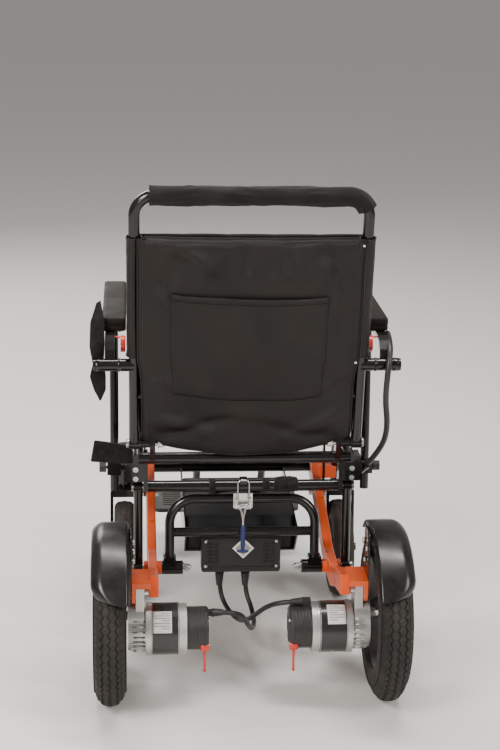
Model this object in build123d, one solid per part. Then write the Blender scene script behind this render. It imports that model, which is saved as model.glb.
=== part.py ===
from build123d import *
import math
import os

# Power wheelchair, in millimetres. X runs across the chair, +Y forward, +Z up.
# Parts are laid out from the rear axle (Y = 0) and the floor (Z = 0), and are
# moved at export so that the origin is the middle of the footprint.

# ---- overall sizes -------------------------------------------------------
tyre_radius = 159.0          # 12.5 in drive wheel
tyre_width = 57.0
rim_radius = 103.0
wheel_x = 248.0              # middle of each drive wheel
front_reach = 800.0          # rear axle to the tip of the footplate
back_post_x = 204.0
back_rise = 490.0            # backrest hinge to the top of the push bar, along the post
back_recline = 8.3           # degrees from upright
arm_pad_length = 315.0
caster_radius = 100.0        # 8 in caster
caster_width = 42.0
caster_x = 224.0

# ---- clearances ----------------------------------------------------------
run = 0.05                   # radial clearance of a turning pin
gap = 0.3                    # parts that rest beside each other

# ---- drive unit ----------------------------------------------------------
axle_z = tyre_radius
axle_radius = 8.0
motor_z = axle_z - 26.0
motor_radius = 46.5
motor_inner_x = 73.0         # inner end of the brake cap
cap_length = 39.0
ring_length = 14.0
can_length = 49.0
flange_length = 10.0
gearbox_length = 31.5
gearbox_radius = 38.0
wheel_gap = 3.0              # gearbox to wheel hub
fender_gap = 6.0             # tyre to fender
fender_thick = 2.5
fender_inner_x = 211.5
fender_outer_x = 280.5
fender_back, fender_front = 149.0, 62.0   # degrees, round the axle from straight ahead

# ---- side arms and lower pivots -------------------------------------------
arm_inner_x = 162.0
arm_thick = 18.0
arm_height = 36.0
pivot_y, pivot_z = 180.0, 175.0
pivot_radius = 5.0
link_y, link_z = 190.0, 335.0        # upper pivot of the rear links
link_tube_x = 197.0
link_tube_radius = 8.5
front_link_y = 430.0
front_link_thick = 4.5
tube_radius = 10.0
tube_wall = 1.6
hoop_x = 138.0
hoop_radius = 9.0
hoop_top_z = 307.0
hoop_bend = 48.0
low_cross_y, low_cross_z = 202.0, 238.0
front_cross_y = 512.0

# ---- casters -------------------------------------------------------------
stem_y = 500.0
caster_trail = 40.0
stem_radius = 8.0
housing_radius = 18.0
housing_bottom, housing_top = 232.3, 310.0
crown_bottom, crown_top = 212.0, 228.0
fork_thick = 6.0
fork_gap = 2.0

# ---- seat and backrest ---------------------------------------------------
rail_x = 196.0
rail_z = 403.0
rail_back_y, rail_front_y = 150.0, 590.0
hinge_y, hinge_z = 145.0, 435.0
cushion_back_y, cushion_front_y = 212.0, 604.0
cushion_thick = 32.0
cushion_x = 205.0
canvas_thick = 2.5
canvas_bottom, canvas_top = 14.0, 400.0   # along the post, from the hinge
brace_rise, brace_radius = 96.0, 7.0
sleeve_radius = 15.0
sleeve_x = 165.0
handle_bend = 38.0

# ---- armrests ------------------------------------------------------------
rest_rise = 156.6            # hinge to the armrest pivot, along the post
stub_radius = 11.5
stub_end_x = 229.0
sleeve_end_x = 273.0
rest_pin_radius = 6.0
rest_bar_x, rest_bar_width = 247.5, 18.0
rest_bar_thick = 6.0
rest_bar_z = 634.0
pad_x, pad_width = 240.3, 43.4
pad_thick = 25.0
pad_back_y = 180.0
post_x, post_radius = 242.0, 8.25
post_top_y, post_top_z = 300.0, 616.0
clamp_y, clamp_z = 273.0, 345.0
post_tail = 45.0             # post below the clamp
clamp_play = 1.0             # post to the back of its clamp
knob_radius = 9.5

# ---- footrest ------------------------------------------------------------
foot_x = 70.0
foot_tube_radius = 8.0
foot_pivot_y, foot_pivot_z = 662.0, 128.0
plate_half = 160.0
plate_thick = 8.0

# ---- electrics -----------------------------------------------------------
battery_half, battery_length, battery_height = 105.0, 215.0, 70.0
tray_thick = 3.0
tray_z = 178.0
box_half, box_depth, box_height = 76.0, 40.0, 78.0
box_back_y = 213.0
stick_inset = 40.0             # end of the arm pad to the stick
stick_x, stick_y = 206.0, pad_back_y + arm_pad_length + stick_inset
joystick_height = 43.0
cable_radius = 4.6           # motor cables
joystick_cable_radius = 5.4

recline = math.radians(back_recline)
middle_y = (front_reach - tyre_radius) / 2
out_dir = "parts"


# ---- small helpers -------------------------------------------------------
def rod(a, b, radius):
    """A solid round bar from point a to point b."""
    line = Vector(*b) - Vector(*a)
    plane = Plane(origin=a, z_dir=line)
    return extrude(plane * Circle(radius), line.length)


def across(y, z, x0, x1, radius):
    """A round bar along X."""
    return rod((x0, y, z), (x1, y, z), radius)


def box(x0, x1, y0, y1, z0, z1):
    """A block between two corners."""
    centre = ((x0 + x1) / 2, (y0 + y1) / 2, (z0 + z1) / 2)
    return Pos(*centre) * Box(abs(x1 - x0), abs(y1 - y0), abs(z1 - z0))


def profile(points, x0, x1):
    """A plate along X whose outline is given in the YZ plane."""
    outline = Polyline([(x0, y, z) for y, z in points], close=True)
    return extrude(make_face(outline), x1 - x0, dir=(1, 0, 0))


def strip_outline(points, half):
    """The outline of a flat bar that follows points, half its height each side."""
    above, below = [], []
    for i, (y, z) in enumerate(points):
        before = points[max(i - 1, 0)]
        after = points[min(i + 1, len(points) - 1)]
        into = math.atan2(z - before[1], y - before[0]) if i else None
        out = math.atan2(after[1] - z, after[0] - y) if i < len(points) - 1 else None
        into = out if into is None else into
        out = into if out is None else out
        turn = (into + out) / 2
        reach = half / math.cos((out - into) / 2)
        above.append((y - reach * math.sin(turn), z + reach * math.cos(turn)))
        below.append((y + reach * math.sin(turn), z - reach * math.cos(turn)))
    return above + below[::-1]


def strip(points, half, x0, x1):
    """A flat bar that follows points in the YZ plane."""
    return profile(strip_outline(points, half), x0, x1)


def bent_rod(points, radius, bend):
    """A round bar along points, with its corners bent to a radius."""
    path = FilletPolyline(*[Vector(*p) for p in points], radius=bend)
    start = Plane(origin=path @ 0, z_dir=path % 0)
    return sweep(start * Circle(radius), path=path)


def turned(outline, x, y, z):
    """A part turned about the X axis through (x, y, z), from (radius, length) points."""
    face = make_face(Polyline([(length, radius) for radius, length in outline], close=True))
    solid = revolve(face, Axis.X, 360)
    return Pos(x, y, z) * solid


def left(shape):
    """The same part on the other side of the chair."""
    return mirror(shape, about=Plane.YZ)


def both(shape):
    """A part on each side of the chair."""
    return group([shape, left(shape)])


def group(shapes):
    """Separate solids that share one node."""
    solids = [s for shape in shapes for s in shape.solids()]
    return Compound(solids)


def on_post(distance, offset=0.0):
    """Y and Z of a point on the backrest, from its hinge, offset to the front."""
    y = hinge_y - distance * math.sin(recline) + offset * math.cos(recline)
    z = hinge_z + distance * math.cos(recline) + offset * math.sin(recline)
    return y, z


def on_arm(y):
    """Height of the side arm's middle line at a place along the chair."""
    line = arm_line()
    for (y0, z0), (y1, z1) in zip(line, line[1:]):
        if y0 <= y <= y1:
            return z0 + (z1 - z0) * (y - y0) / (y1 - y0)
    return line[-1][1]


def arm_line():
    """The side arm's middle line, from the drive motor to the caster."""
    return [(-14.0, axle_z + 60), (64.0, pivot_z + 26), (pivot_y - 50, pivot_z),
            (pivot_y + 50, pivot_z), (300.0, pivot_z + 24), (stem_y + 34, pivot_z + 92)]


rest_y, rest_z = on_post(rest_rise)
lock_radius, lock_thick, lock_travel = 15.0, 8.8, 3.0
lock_y, lock_z = rest_y + 32, rest_bar_z - 13
lock_pin_z, lock_pin_radius = rest_bar_z - 0.5, 1.9
cap_x1 = motor_inner_x + cap_length
ring_x1 = cap_x1 + ring_length
can_x1 = ring_x1 + can_length
flange_x1 = can_x1 + flange_length
gearbox_x1 = flange_x1 + gearbox_length
arm_outer_x = arm_inner_x + arm_thick
lug_z = on_arm(0) + arm_height / 2 - 10


# ---- chassis: side arms, hoop, cross tubes ---------------------------------
def side_arm():
    """Steel arm from the drive motor past the lower pivot to the caster."""
    x0, x1 = arm_inner_x, arm_outer_x
    arm = strip(arm_line(), arm_height / 2, x0, x1)
    arm = fillet(arm.edges().filter_by(Axis.X, reverse=True), 2.5)
    boss = across(pivot_y, pivot_z, x0 - 9, x1 + 7, 13)
    shelf = box(x1 - 4, fender_inner_x - 2, -34, 34, lug_z, lug_z + 10)
    ear = box(fender_inner_x - 8, fender_inner_x - 2, -34, 34, lug_z - 30, lug_z + 10)
    ear = fillet(ear.edges().filter_by(Axis.X).sort_by(Axis.Z)[:2], 8)
    front = on_arm(stem_y)
    lug = box(x1 - 4, caster_x, stem_y - 16, stem_y + 16, front - 13, front + 13)
    lug -= rod((caster_x, stem_y, front - 50), (caster_x, stem_y, front + 50), housing_radius)
    arm = arm + boss + shelf + ear + lug
    arm -= across(pivot_y, pivot_z, x0 - 20, x1 + 20, pivot_radius + run)
    arm -= across(front_link_y, on_arm(front_link_y), x0 - 5, x1 + 5, pivot_radius + run)
    return arm


def hoop_frame():
    """Bent rear hoop with its feet on the lower pivots, and the low cross tube."""
    r = hoop_radius
    y0, y1 = pivot_y, low_cross_y - 5
    points = [(-hoop_x, y0, pivot_z), (-hoop_x, y1, hoop_top_z), (hoop_x, y1, hoop_top_z),
              (hoop_x, y0, pivot_z)]
    foot = across(y0, pivot_z, 113, arm_inner_x - 9 - gap, 13)
    foot += box(hoop_x - 12, hoop_x + 12, y0 - 12, y0 + 12, pivot_z, pivot_z + 22)
    cross = rod((-hoop_x, low_cross_y, low_cross_z), (hoop_x, low_cross_y, low_cross_z), r)
    outer = bent_rod(points, r, hoop_bend) + cross + foot + left(foot)
    bore = across(pivot_y, pivot_z, -hoop_x - 40, hoop_x + 40, pivot_radius + run)
    return outer - bore


def front_frame():
    """Front cross tube with the two drop tubes that carry the footplate."""
    z = on_arm(front_cross_y)
    cross = rod((-arm_inner_x, front_cross_y, z), (arm_inner_x, front_cross_y, z), tube_radius)
    drop = [(foot_x, front_cross_y, z), (foot_x, foot_pivot_y - 74, z - 26),
            (foot_x, foot_pivot_y, foot_pivot_z)]
    leg = bent_rod(drop, foot_tube_radius, 40)
    leg += across(foot_pivot_y, foot_pivot_z, foot_x - 8, foot_x + 8, 9)
    leg -= across(foot_pivot_y, foot_pivot_z, foot_x - 20, foot_x + 20, 4 + run)
    return cross + leg + left(leg)


def acorn_bolt(y, z, nut_x, head_x, radius):
    """A pivot bolt with a domed nut at its inner end and a round head outside."""
    dome, washer_radius, head_radius = radius + 1.6, radius + 4.5, radius + 3.5
    outline = [(0, nut_x + 2)]
    for i in range(1, 4):
        turn = math.radians(25 * i)
        outline.append((dome * math.sin(turn), nut_x + 2 + dome * (1 - math.cos(turn))))
    outline += [(dome, nut_x + 10), (dome, nut_x + 16), (washer_radius, nut_x + 16),
                (washer_radius, nut_x + 18), (radius, nut_x + 18), (radius, head_x),
                (head_radius, head_x), (head_radius, head_x + 3), (head_radius - 1.5, head_x + 4.5),
                (0, head_x + 4.5)]
    hexagon = Plane(origin=(nut_x + 9, y, z), z_dir=(1, 0, 0)) * RegularPolygon(radius + 3.2, 6)
    return turned(outline, 0, y, z) + extrude(hexagon, 7)


def chassis_bolts():
    """Pivot bolts of both link pairs and the clamp bolts of the gearboxes."""
    rear = acorn_bolt(pivot_y, pivot_z, 113 - 18, link_tube_x + link_tube_radius + 1, pivot_radius)
    z = on_arm(front_link_y)
    outer = arm_outer_x + gap + front_link_thick + gap
    front = across(front_link_y, z, arm_inner_x - 3, outer, pivot_radius)
    front += across(front_link_y, z, outer, outer + 3, pivot_radius + 4)
    front += across(front_link_y, z, arm_inner_x - 8, arm_inner_x, pivot_radius + 4)
    clamps = []
    for y in (-14.0, 16.0):
        clamps.append(across(y, lug_z - 13, arm_outer_x + 0.5, arm_outer_x + 7.5, 7.5))
    return group([both(rear), both(front)] + [both(c) for c in clamps])


# ---- drive units -----------------------------------------------------------
def gearbox():
    """Cast gearbox between the motor and the wheel, with its mounting lug on top."""
    x0, x1 = flange_x1, gearbox_x1
    body = across(0, motor_z, x0, x1, gearbox_radius) + across(0, axle_z, x0 + 3, x1, 30)
    for i in range(9):
        turn = math.radians(200 + 20 * i)
        y = gearbox_radius * math.cos(turn)
        z = motor_z + gearbox_radius * math.sin(turn)
        body += across(y, z, x0, x1 - 4, 2.2)
    lug = box(arm_outer_x + 8, fender_inner_x - 9, -24, 26, axle_z + 10, lug_z)
    lug = fillet(lug.edges().filter_by(Axis.X), 5)
    body += lug + across(0, motor_z, can_x1, x0, motor_radius + 1)
    body -= across(0, axle_z, x1 - 18, x1 + 1, axle_radius + run)
    return body


def motor_can():
    """Painted steel motor body."""
    return across(0, motor_z, ring_x1, can_x1, motor_radius)


def motor_ring():
    """Aluminium end ring with a groove, between the motor and the brake cap."""
    ring = across(0, motor_z, cap_x1, ring_x1, motor_radius - 1.5)
    groove = across(0, motor_z, cap_x1 + 8, cap_x1 + 9.5, motor_radius)
    groove -= across(0, motor_z, cap_x1 + 7, cap_x1 + 10.5, motor_radius - 2.7)
    return ring - groove


lever_inset = 21.5
lever_y, lever_z = lever_inset - motor_radius, motor_z + lever_inset - motor_radius
lever_x0, lever_x1 = motor_inner_x - 1, motor_inner_x + 15
gland_length = 8.0
top_gland = (cap_x1 - 16, 8.0, motor_z + 44.5)       # on top of the right cap
end_gland = (motor_inner_x - gland_length, 12.0, motor_z + 24)   # in the left cap's end


def brake_cap(gland):
    """Plastic cap over the parking brake, notched for the release lever."""
    radius = motor_radius - 8
    cap = across(0, motor_z, motor_inner_x, cap_x1, radius)
    cap = fillet(cap.edges().filter_by(GeomType.CIRCLE).sort_by(Axis.X)[0], 4)
    cap += gland
    cap -= across(lever_y, lever_z, motor_inner_x - 5, lever_x1 + 1, 10.5)
    cap -= across(lever_y, lever_z, lever_x1, lever_x1 + 11, 3 + run)
    return cap


def brake_caps():
    """The right cap has its cable gland on top, the left cap in its end."""
    x, y, z = top_gland
    top = box(x, cap_x1, y - 6.5, y + 6.5, motor_z + 30, z + 6.5)
    x, y, z = end_gland
    end = across(y, z, x, x + gland_length + 3, 6.5)
    return group([brake_cap(top), left(brake_cap(end))])


def brake_lever():
    """Red lever that frees the wheel for pushing by hand."""
    hub = across(lever_y, lever_z, lever_x0, lever_x1, 9)
    pin = across(lever_y, lever_z, lever_x1 - 1, lever_x1 + 10, 3)
    middle = (lever_x0 + lever_x1) / 2
    stem = rod((middle, lever_y, lever_z - 4), (middle, lever_y - 3, lever_z - 44), 2.4)
    tip = Pos(middle, lever_y - 3, lever_z - 44) * Sphere(2.9)
    return hub + pin + stem + tip


def fender():
    """Mudguard over the drive wheel, open at the side, with its fixing plate."""
    inner = tyre_radius + fender_gap
    outer = inner + fender_thick
    x0, x1 = fender_inner_x, fender_outer_x
    shell = across(0, axle_z, x0, x1, outer) - across(0, axle_z, x0 - 1, x1 + 1, inner)
    lips = across(0, axle_z, x0, x0 + 2, outer) - across(0, axle_z, x0 - 1, x0 + 3, inner - 12)
    rim_lip = across(0, axle_z, x1 - 2, x1, outer) - across(0, axle_z, x1 - 3, x1 + 1, inner - 5)
    hood = shell + lips + rim_lip
    far = 3 * outer
    sector = [(0.0, axle_z)]
    for i in range(4):
        turn = math.radians(fender_back + (fender_front - fender_back) * i / 3)
        sector.append((far * math.cos(turn), axle_z + far * math.sin(turn)))
    hood &= profile(sector, x0 - 2, x1 + 2)
    plate = box(x0 - 2, x0, -30, 30, lug_z - 26, axle_z + inner - 2)
    return hood + plate


# ---- wheels ----------------------------------------------------------------
def tyre(radius, width, seat_radius):
    """Round-shouldered tyre, as (radius, length) points about its middle."""
    half = width / 2
    outline = [(seat_radius, -half * 0.72), (seat_radius + (radius - seat_radius) * 0.45, -half),
               (radius - (radius - seat_radius) * 0.28, -half * 0.93),
               (radius - (radius - seat_radius) * 0.08, -half * 0.68), (radius, -half * 0.3)]
    return outline + [(r, -length) for r, length in reversed(outline)]


def wheel_tyre():
    """Air tyre of a drive wheel."""
    return turned(tyre(tyre_radius, tyre_width, rim_radius), wheel_x, 0, axle_z)


def wheel_rim():
    """Five-spoke rim with its hub and the drive axle."""
    half = tyre_width * 0.36
    x = wheel_x
    rim = turned([(rim_radius, -half), (rim_radius, half), (rim_radius - 6, half),
                  (rim_radius - 12, half * 0.5), (rim_radius - 12, -half * 0.5),
                  (rim_radius - 6, -half)], x, 0, axle_z)
    hub_x0 = gearbox_x1 + wheel_gap
    hub = across(0, axle_z, hub_x0, x + 14, 22)
    spokes = []
    for i in range(5):
        spoke = box(x - 9, x + 9, -11, 11, axle_z + 18, axle_z + rim_radius - 10)
        spokes.append(spoke.rotate(Axis((x, 0, axle_z), (1, 0, 0)), 72 * i + 36))
    axle = across(0, axle_z, gearbox_x1 - 17, x + 20, axle_radius)
    nut = across(0, axle_z, x + 14, x + 22, 12)
    rim = rim + hub + axle + nut
    for spoke in spokes:
        rim += spoke
    return rim


def caster_fork():
    """Steel fork with its stem and the caster's axle bolt."""
    x, y = caster_x, stem_y
    half = caster_width / 2 + fork_gap
    axle = (y - caster_trail, caster_radius)
    crown = box(x - half - fork_thick, x + half + fork_thick, y - 34, y + 16,
                crown_bottom, crown_top)
    crown = fillet(crown.edges().filter_by(Axis.Y).sort_by(Axis.Z)[-2:], 7)
    side = [(y - 34, crown_top - 8), (y + 16, crown_top - 8), (y + 16, crown_bottom - 14),
            (axle[0] + 15, axle[1]), (axle[0] + 9, axle[1] - 13), (axle[0] - 9, axle[1] - 13),
            (axle[0] - 15, axle[1])]
    legs = profile(side, x - half - fork_thick, x - half)
    legs += profile(side, x + half, x + half + fork_thick)
    stem = rod((x, y, crown_top - 2), (x, y, housing_top + 1), stem_radius)
    washer = rod((x, y, crown_top - 1), (x, y, housing_bottom - gap), 13)
    bolt = across(axle[0], axle[1], x - half - 10, x + half + 10, 5)
    heads = across(axle[0], axle[1], x - half - fork_thick - 6, x - half - fork_thick, 8)
    heads += across(axle[0], axle[1], x + half + fork_thick, x + half + fork_thick + 6, 8)
    return crown + legs + stem + washer + bolt + heads


def caster_tyre():
    """Solid rubber caster tyre."""
    outline = tyre(caster_radius, caster_width, caster_radius - 24)
    return turned(outline, caster_x, stem_y - caster_trail, caster_radius)


def caster_hub():
    """Plastic caster wheel centre with its bore."""
    y = stem_y - caster_trail
    seat = caster_radius - 24
    half = caster_width * 0.36
    web = [(seat, -half), (seat, half), (seat - 8, half), (seat - 12, 5), (22, 5), (18, half + 4),
           (5 + run, half + 4), (5 + run, -half - 4), (18, -half - 4), (22, -5), (seat - 12, -5),
           (seat - 8, -half)]
    hub = turned(web, caster_x, y, caster_radius)
    for i in range(6):
        turn = math.radians(60 * i)
        hole_y = y + 43 * math.cos(turn)
        hole_z = caster_radius + 43 * math.sin(turn)
        hub -= across(hole_y, hole_z, caster_x - 8, caster_x + 8, 9)
    return hub


def caster_housing():
    """Bearing housing that holds the caster stem, with its dust cap."""
    body = rod((caster_x, stem_y, housing_bottom), (caster_x, stem_y, housing_top), housing_radius)
    bore = rod((caster_x, stem_y, housing_bottom - 1), (caster_x, stem_y, housing_top - 2 + 4),
               stem_radius + run)
    cap = rod((caster_x, stem_y, housing_top), (caster_x, stem_y, housing_top + 6),
              housing_radius - 3)
    well = rod((caster_x, stem_y, housing_top - 1), (caster_x, stem_y, housing_top + 2), 9)
    return body + cap - bore - well


# ---- links -------------------------------------------------------------
def rear_link():
    """Tube that carries the back of the seat on the lower pivot."""
    x, r = link_tube_x, link_tube_radius
    link = rod((x, pivot_y, pivot_z), (x, link_y, link_z), r)
    half = r - 0.4
    link += across(pivot_y, pivot_z, x - half, x + half, 12)
    link += across(link_y, link_z, x - half, x + half, 9.5)
    link -= across(pivot_y, pivot_z, x - 20, x + 20, pivot_radius + run)
    link -= across(link_y, link_z, x - 20, x + 20, 6 + run)
    return link


def front_link():
    """Flat link that carries the front of the seat; its upper hole is the loose one."""
    x0 = arm_outer_x + gap
    z = on_arm(front_link_y)
    top_y, top_z = front_link_y + link_y - pivot_y, z + link_z - pivot_z
    link = strip([(front_link_y, z), (top_y, top_z)], 9, x0, x0 + front_link_thick)
    link += across(front_link_y, z, x0, x0 + front_link_thick, 10)
    link += across(top_y, top_z, x0, x0 + front_link_thick, 10)
    link -= across(front_link_y, z, x0 - 1, x0 + 10, pivot_radius + run)
    link -= across(top_y, top_z, x0 - 1, x0 + 10, pivot_radius + 1)
    return link


# ---- seat ----------------------------------------------------------------
def seat_bracket():
    """Bracket under the rail's back end: backrest ear, link hanger and clamp arm."""
    hanger = profile([(link_y - 13, rail_z), (link_y + 16, rail_z), (link_y + 12, link_z - 8),
                      (link_y - 12, link_z - 8)], rail_x - 17, link_tube_x - link_tube_radius - 1)
    block = box(rail_x - 9, rail_x + 22, link_y - 24, link_y + 16, link_z + 17, rail_z - 3)
    x0, x1 = rail_x + 19.5, rail_x + 25.5
    arm = profile([(link_y - 24, link_z + 17), (link_y - 24, link_z + 50), (link_y + 16, link_z + 50),
                   (clamp_y + 13, clamp_z + 8), (clamp_y + 13, clamp_z - 8), (clamp_y, clamp_z - 13),
                   (clamp_y - 20, clamp_z - 10), (link_y + 16, link_z + 17)], x0, x1)
    boss = across(clamp_y, clamp_z, x0, x1 + 7, 9)
    ear = profile([(hinge_y - 14, hinge_z), (hinge_y - 10, hinge_z + 12), (hinge_y + 10, hinge_z + 12),
                   (hinge_y + 14, hinge_z), (hinge_y + 20, rail_z), (hinge_y - 4, rail_z)], 166, 176)
    spacer = across(hinge_y, hinge_z, 170, back_post_x - tube_radius - gap, 8)
    part = hanger + block + arm + boss + ear + spacer
    part -= across(clamp_y, clamp_z, x0 - 1, x1 + 20, 5 + run)
    part -= across(hinge_y, hinge_z, 160, 220, 5 + run)
    return part


def cable_gland():
    """Gland of the joystick cable on the right bracket, in line with its last run."""
    before, end = Vector(*JOYSTICK_CABLE[-2]), Vector(*JOYSTICK_CABLE[-1])
    inner = end + (end - before).normalized() * 24
    return rod(tuple(end), tuple(inner), joystick_cable_radius + 2.5)


def seat_frame():
    """Side rails, three cross tubes, the brackets and the latch's catch."""
    outer = rod((-rail_x, rail_back_y + 5, rail_z), (rail_x, rail_back_y + 5, rail_z), 11)
    outer += across(rail_front_y - 12, rail_z, -rail_x, rail_x, tube_radius - 1)
    for x in (-rail_x, rail_x):
        outer += rod((x, rail_back_y, rail_z), (x, rail_front_y, rail_z), tube_radius)
    bracket = seat_bracket()
    low = across(link_y, link_z, -rail_x + 12, rail_x - 12, 11)
    catch = box(-7, 7, link_y - 11, link_y + 4, link_z + 6, link_z + 17)
    frame = outer + low + bracket + left(bracket) + catch + cable_gland()
    frame -= across(link_y, link_z, -230, -150, 6 + run)
    frame -= across(link_y, link_z, 150, 230, 6 + run)
    top_y = front_link_y + link_y - pivot_y
    top_z = on_arm(front_link_y) + link_z - pivot_z
    frame -= across(top_y, top_z, -230, 230, pivot_radius + run)
    for x in (-rail_x, rail_x):
        frame -= rod((x, rail_back_y + 70, rail_z), (x, rail_front_y + 1, rail_z),
                     tube_radius - tube_wall)
    return frame


def seat_bolts():
    """Upper link pins, bracket screws and backrest hinge bolts, as separate solids."""
    head_x = link_tube_x + link_tube_radius + gap
    pin = across(link_y, link_z, rail_x - 20, head_x, 6) + across(link_y, link_z, head_x,
                                                                 head_x + 4, 9)
    top_y = front_link_y + link_y - pivot_y
    top_z = on_arm(front_link_y) + link_z - pivot_z
    upper = across(top_y, top_z, arm_outer_x - 2, rail_x + 12, pivot_radius)
    upper += across(top_y, top_z, arm_outer_x - 5, arm_outer_x, pivot_radius + 4)
    upper += across(top_y, top_z, rail_x + tube_radius, rail_x + tube_radius + 5,
                    pivot_radius + 3)
    back = link_y - 24
    screws = []
    for z in (link_z + 24, link_z + 42):
        head = rod((rail_x + 6, back - 3, z), (rail_x + 6, back, z), 5)
        head -= rod((rail_x + 6, back - 4, z), (rail_x + 6, back - 1, z), 2.5)
        screws.append(head)
    head_x = back_post_x + tube_radius + 0.5
    hinge = acorn_bolt(hinge_y, hinge_z, 143, head_x, 5)
    return group([both(pin), both(upper), both(hinge)] + [both(s) for s in screws])


def seat_cushion():
    """Padded seat on the rails."""
    z0 = rail_z + tube_radius + gap
    cushion = box(-cushion_x, cushion_x, cushion_back_y, cushion_front_y, z0, z0 + cushion_thick)
    cushion = fillet(cushion.edges().filter_by(Axis.Z), 24)
    return fillet(cushion.edges().group_by(Axis.Z)[-1], 11)


def seat_strap():
    """Webbing anchor of the lap belt, sticking out beside the seat."""
    y = link_y - 24 - gap
    return box(-fender_outer_x, -rail_x - tube_radius - gap, y - 3, y, rail_z - 10, hinge_z - 7)


# ---- backrest ------------------------------------------------------------
def backrest_frame():
    """Two posts joined by the push bar, with the armrest stubs."""
    x = back_post_x
    top = back_rise - tube_radius - 6
    corners = [on_post(0), on_post(top)]
    points = [(-x, *corners[0]), (-x, *corners[1]), (x, *corners[1]), (x, *corners[0])]
    frame = bent_rod(points, tube_radius, handle_bend)
    for side in (-1, 1):
        frame += across(hinge_y, hinge_z, side * (x - tube_radius), side * (x + tube_radius), 11)
        frame += across(rest_y, rest_z, side * x, side * stub_end_x, stub_radius)
        frame -= across(rest_y, rest_z, side * (stub_end_x - 17), side * (stub_end_x + 1),
                        rest_pin_radius + run)
    frame -= across(hinge_y, hinge_z, -240, 240, 5 + run)
    frame += across(*on_post(brace_rise), -x, x, brace_radius)
    return frame


def handle_sleeve():
    """Soft sleeve round the push bar."""
    y, z = on_post(back_rise - tube_radius - 6)
    outer = rod((-sleeve_x, y, z), (sleeve_x, y, z), sleeve_radius)
    return outer - rod((-sleeve_x - 1, y, z), (sleeve_x + 1, y, z), tube_radius + gap)


def back_canvas():
    """Canvas stretched between the posts, wrapped round each as a sleeve."""
    low = on_post(canvas_bottom)
    high = on_post(canvas_top)
    front = tube_radius + gap
    sheets = []
    sheet = profile([on_post(canvas_bottom, front), on_post(canvas_top, front),
                     on_post(canvas_top, front + canvas_thick),
                     on_post(canvas_bottom, front + canvas_thick)], -back_post_x, back_post_x)
    sheets.append(sheet)
    for side in (-1, 1):
        x = side * back_post_x
        ring = rod((x, *low), (x, *high), tube_radius + gap + canvas_thick)
        ring -= rod((x, *on_post(0)), (x, *on_post(back_rise - 60)), tube_radius + gap)
        ring -= across(rest_y, rest_z, side * (back_post_x - 1), side * 260, stub_radius + 2)
        ring -= across(*on_post(brace_rise), side * back_post_x, 0, brace_radius + gap)
        sheets.append(ring)
    rear = profile([on_post(canvas_bottom, -front), on_post(canvas_top, -front),
                    on_post(canvas_top, -front - canvas_thick),
                    on_post(canvas_bottom, -front - canvas_thick)],
                   -back_post_x, back_post_x)
    canvas = sheets[0] + sheets[1] + sheets[2] + rear
    return canvas


# ---- armrests ------------------------------------------------------------
def rest_pin():
    """Pin with an end cap that the armrest turns on."""
    pin = across(rest_y, rest_z, stub_end_x - 16, sleeve_end_x + 1, rest_pin_radius)
    cap = across(rest_y, rest_z, sleeve_end_x + gap, sleeve_end_x + gap + 3.5, stub_radius)
    return pin + cap


def arm_bar(front_y):
    """Armrest bar: pivot sleeve, arch and the flat bar under the pad."""
    x0, x1 = rest_bar_x - rest_bar_width / 2, rest_bar_x + rest_bar_width / 2
    z = rest_bar_z
    line = [(rest_y - 2, rest_z + 6), (rest_y + 2, rest_z + 27), (rest_y + 15, z - 5),
            (rest_y + 32, z), (front_y, z)]
    bar = strip(line, rest_bar_thick / 2, x0, x1)
    bar += across(rest_y, rest_z, stub_end_x + gap, sleeve_end_x, stub_radius)
    top = post_top_z + 15
    bar += box(post_x - post_radius - 5, x1, post_top_y - 12, post_top_y + 12, top,
               z + rest_bar_thick / 2)
    for x in (post_x - post_radius - 5, post_x + post_radius + 0.7):
        bar += box(x, x + 4.3, post_top_y - 9, post_top_y + 9, post_top_z - 8, top + 1)
    bar += across(post_top_y, post_top_z, post_x - post_radius - 7, post_x + post_radius + 6.5, 3)
    bar -= across(rest_y, rest_z, stub_end_x, sleeve_end_x + 5, rest_pin_radius + run)
    bar -= across(lock_y, lock_pin_z, x0 - 1, x1 + 1, lock_pin_radius + run)
    return bar


def rest_lock():
    """Red release button beside the arch, with its pin through the arch's bar."""
    x0 = rest_bar_x - rest_bar_width / 2 - lock_travel - lock_thick - 7
    lock = across(lock_y, lock_z, x0, x0 + lock_thick, lock_radius)
    lock = fillet(lock.edges().filter_by(GeomType.CIRCLE).sort_by(Axis.X)[0], 3)
    return lock + across(lock_y, lock_pin_z, x0 + lock_thick - 1, rest_bar_x, lock_pin_radius)


def arm_pad():
    """Moulded armrest pad."""
    z0 = rest_bar_z + rest_bar_thick / 2 + gap
    x0, x1 = pad_x - pad_width / 2, pad_x + pad_width / 2
    pad = box(x0, x1, pad_back_y, pad_back_y + arm_pad_length, z0, z0 + pad_thick)
    pad = fillet(pad.edges().filter_by(Axis.Z), 8)
    return fillet(pad.edges().group_by(Axis.Z)[-1], 6)


post_tilt = math.atan2(post_top_y - clamp_y, post_top_z - clamp_z)


def arm_post():
    """Front post of the armrest, hung under the pad and held by the clamp below."""
    length = math.hypot(post_top_y - clamp_y, post_top_z - clamp_z)
    up = (math.sin(post_tilt), math.cos(post_tilt))
    top = (post_x, post_top_y + 8 * up[0], post_top_z + 8 * up[1])
    drop = length + post_tail
    bottom = (post_x, post_top_y - drop * up[0], post_top_z - drop * up[1])
    return rod(bottom, top, post_radius) - across(post_top_y, post_top_z, post_x - 20,
                                                  post_x + 20, 3 + run)


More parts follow.
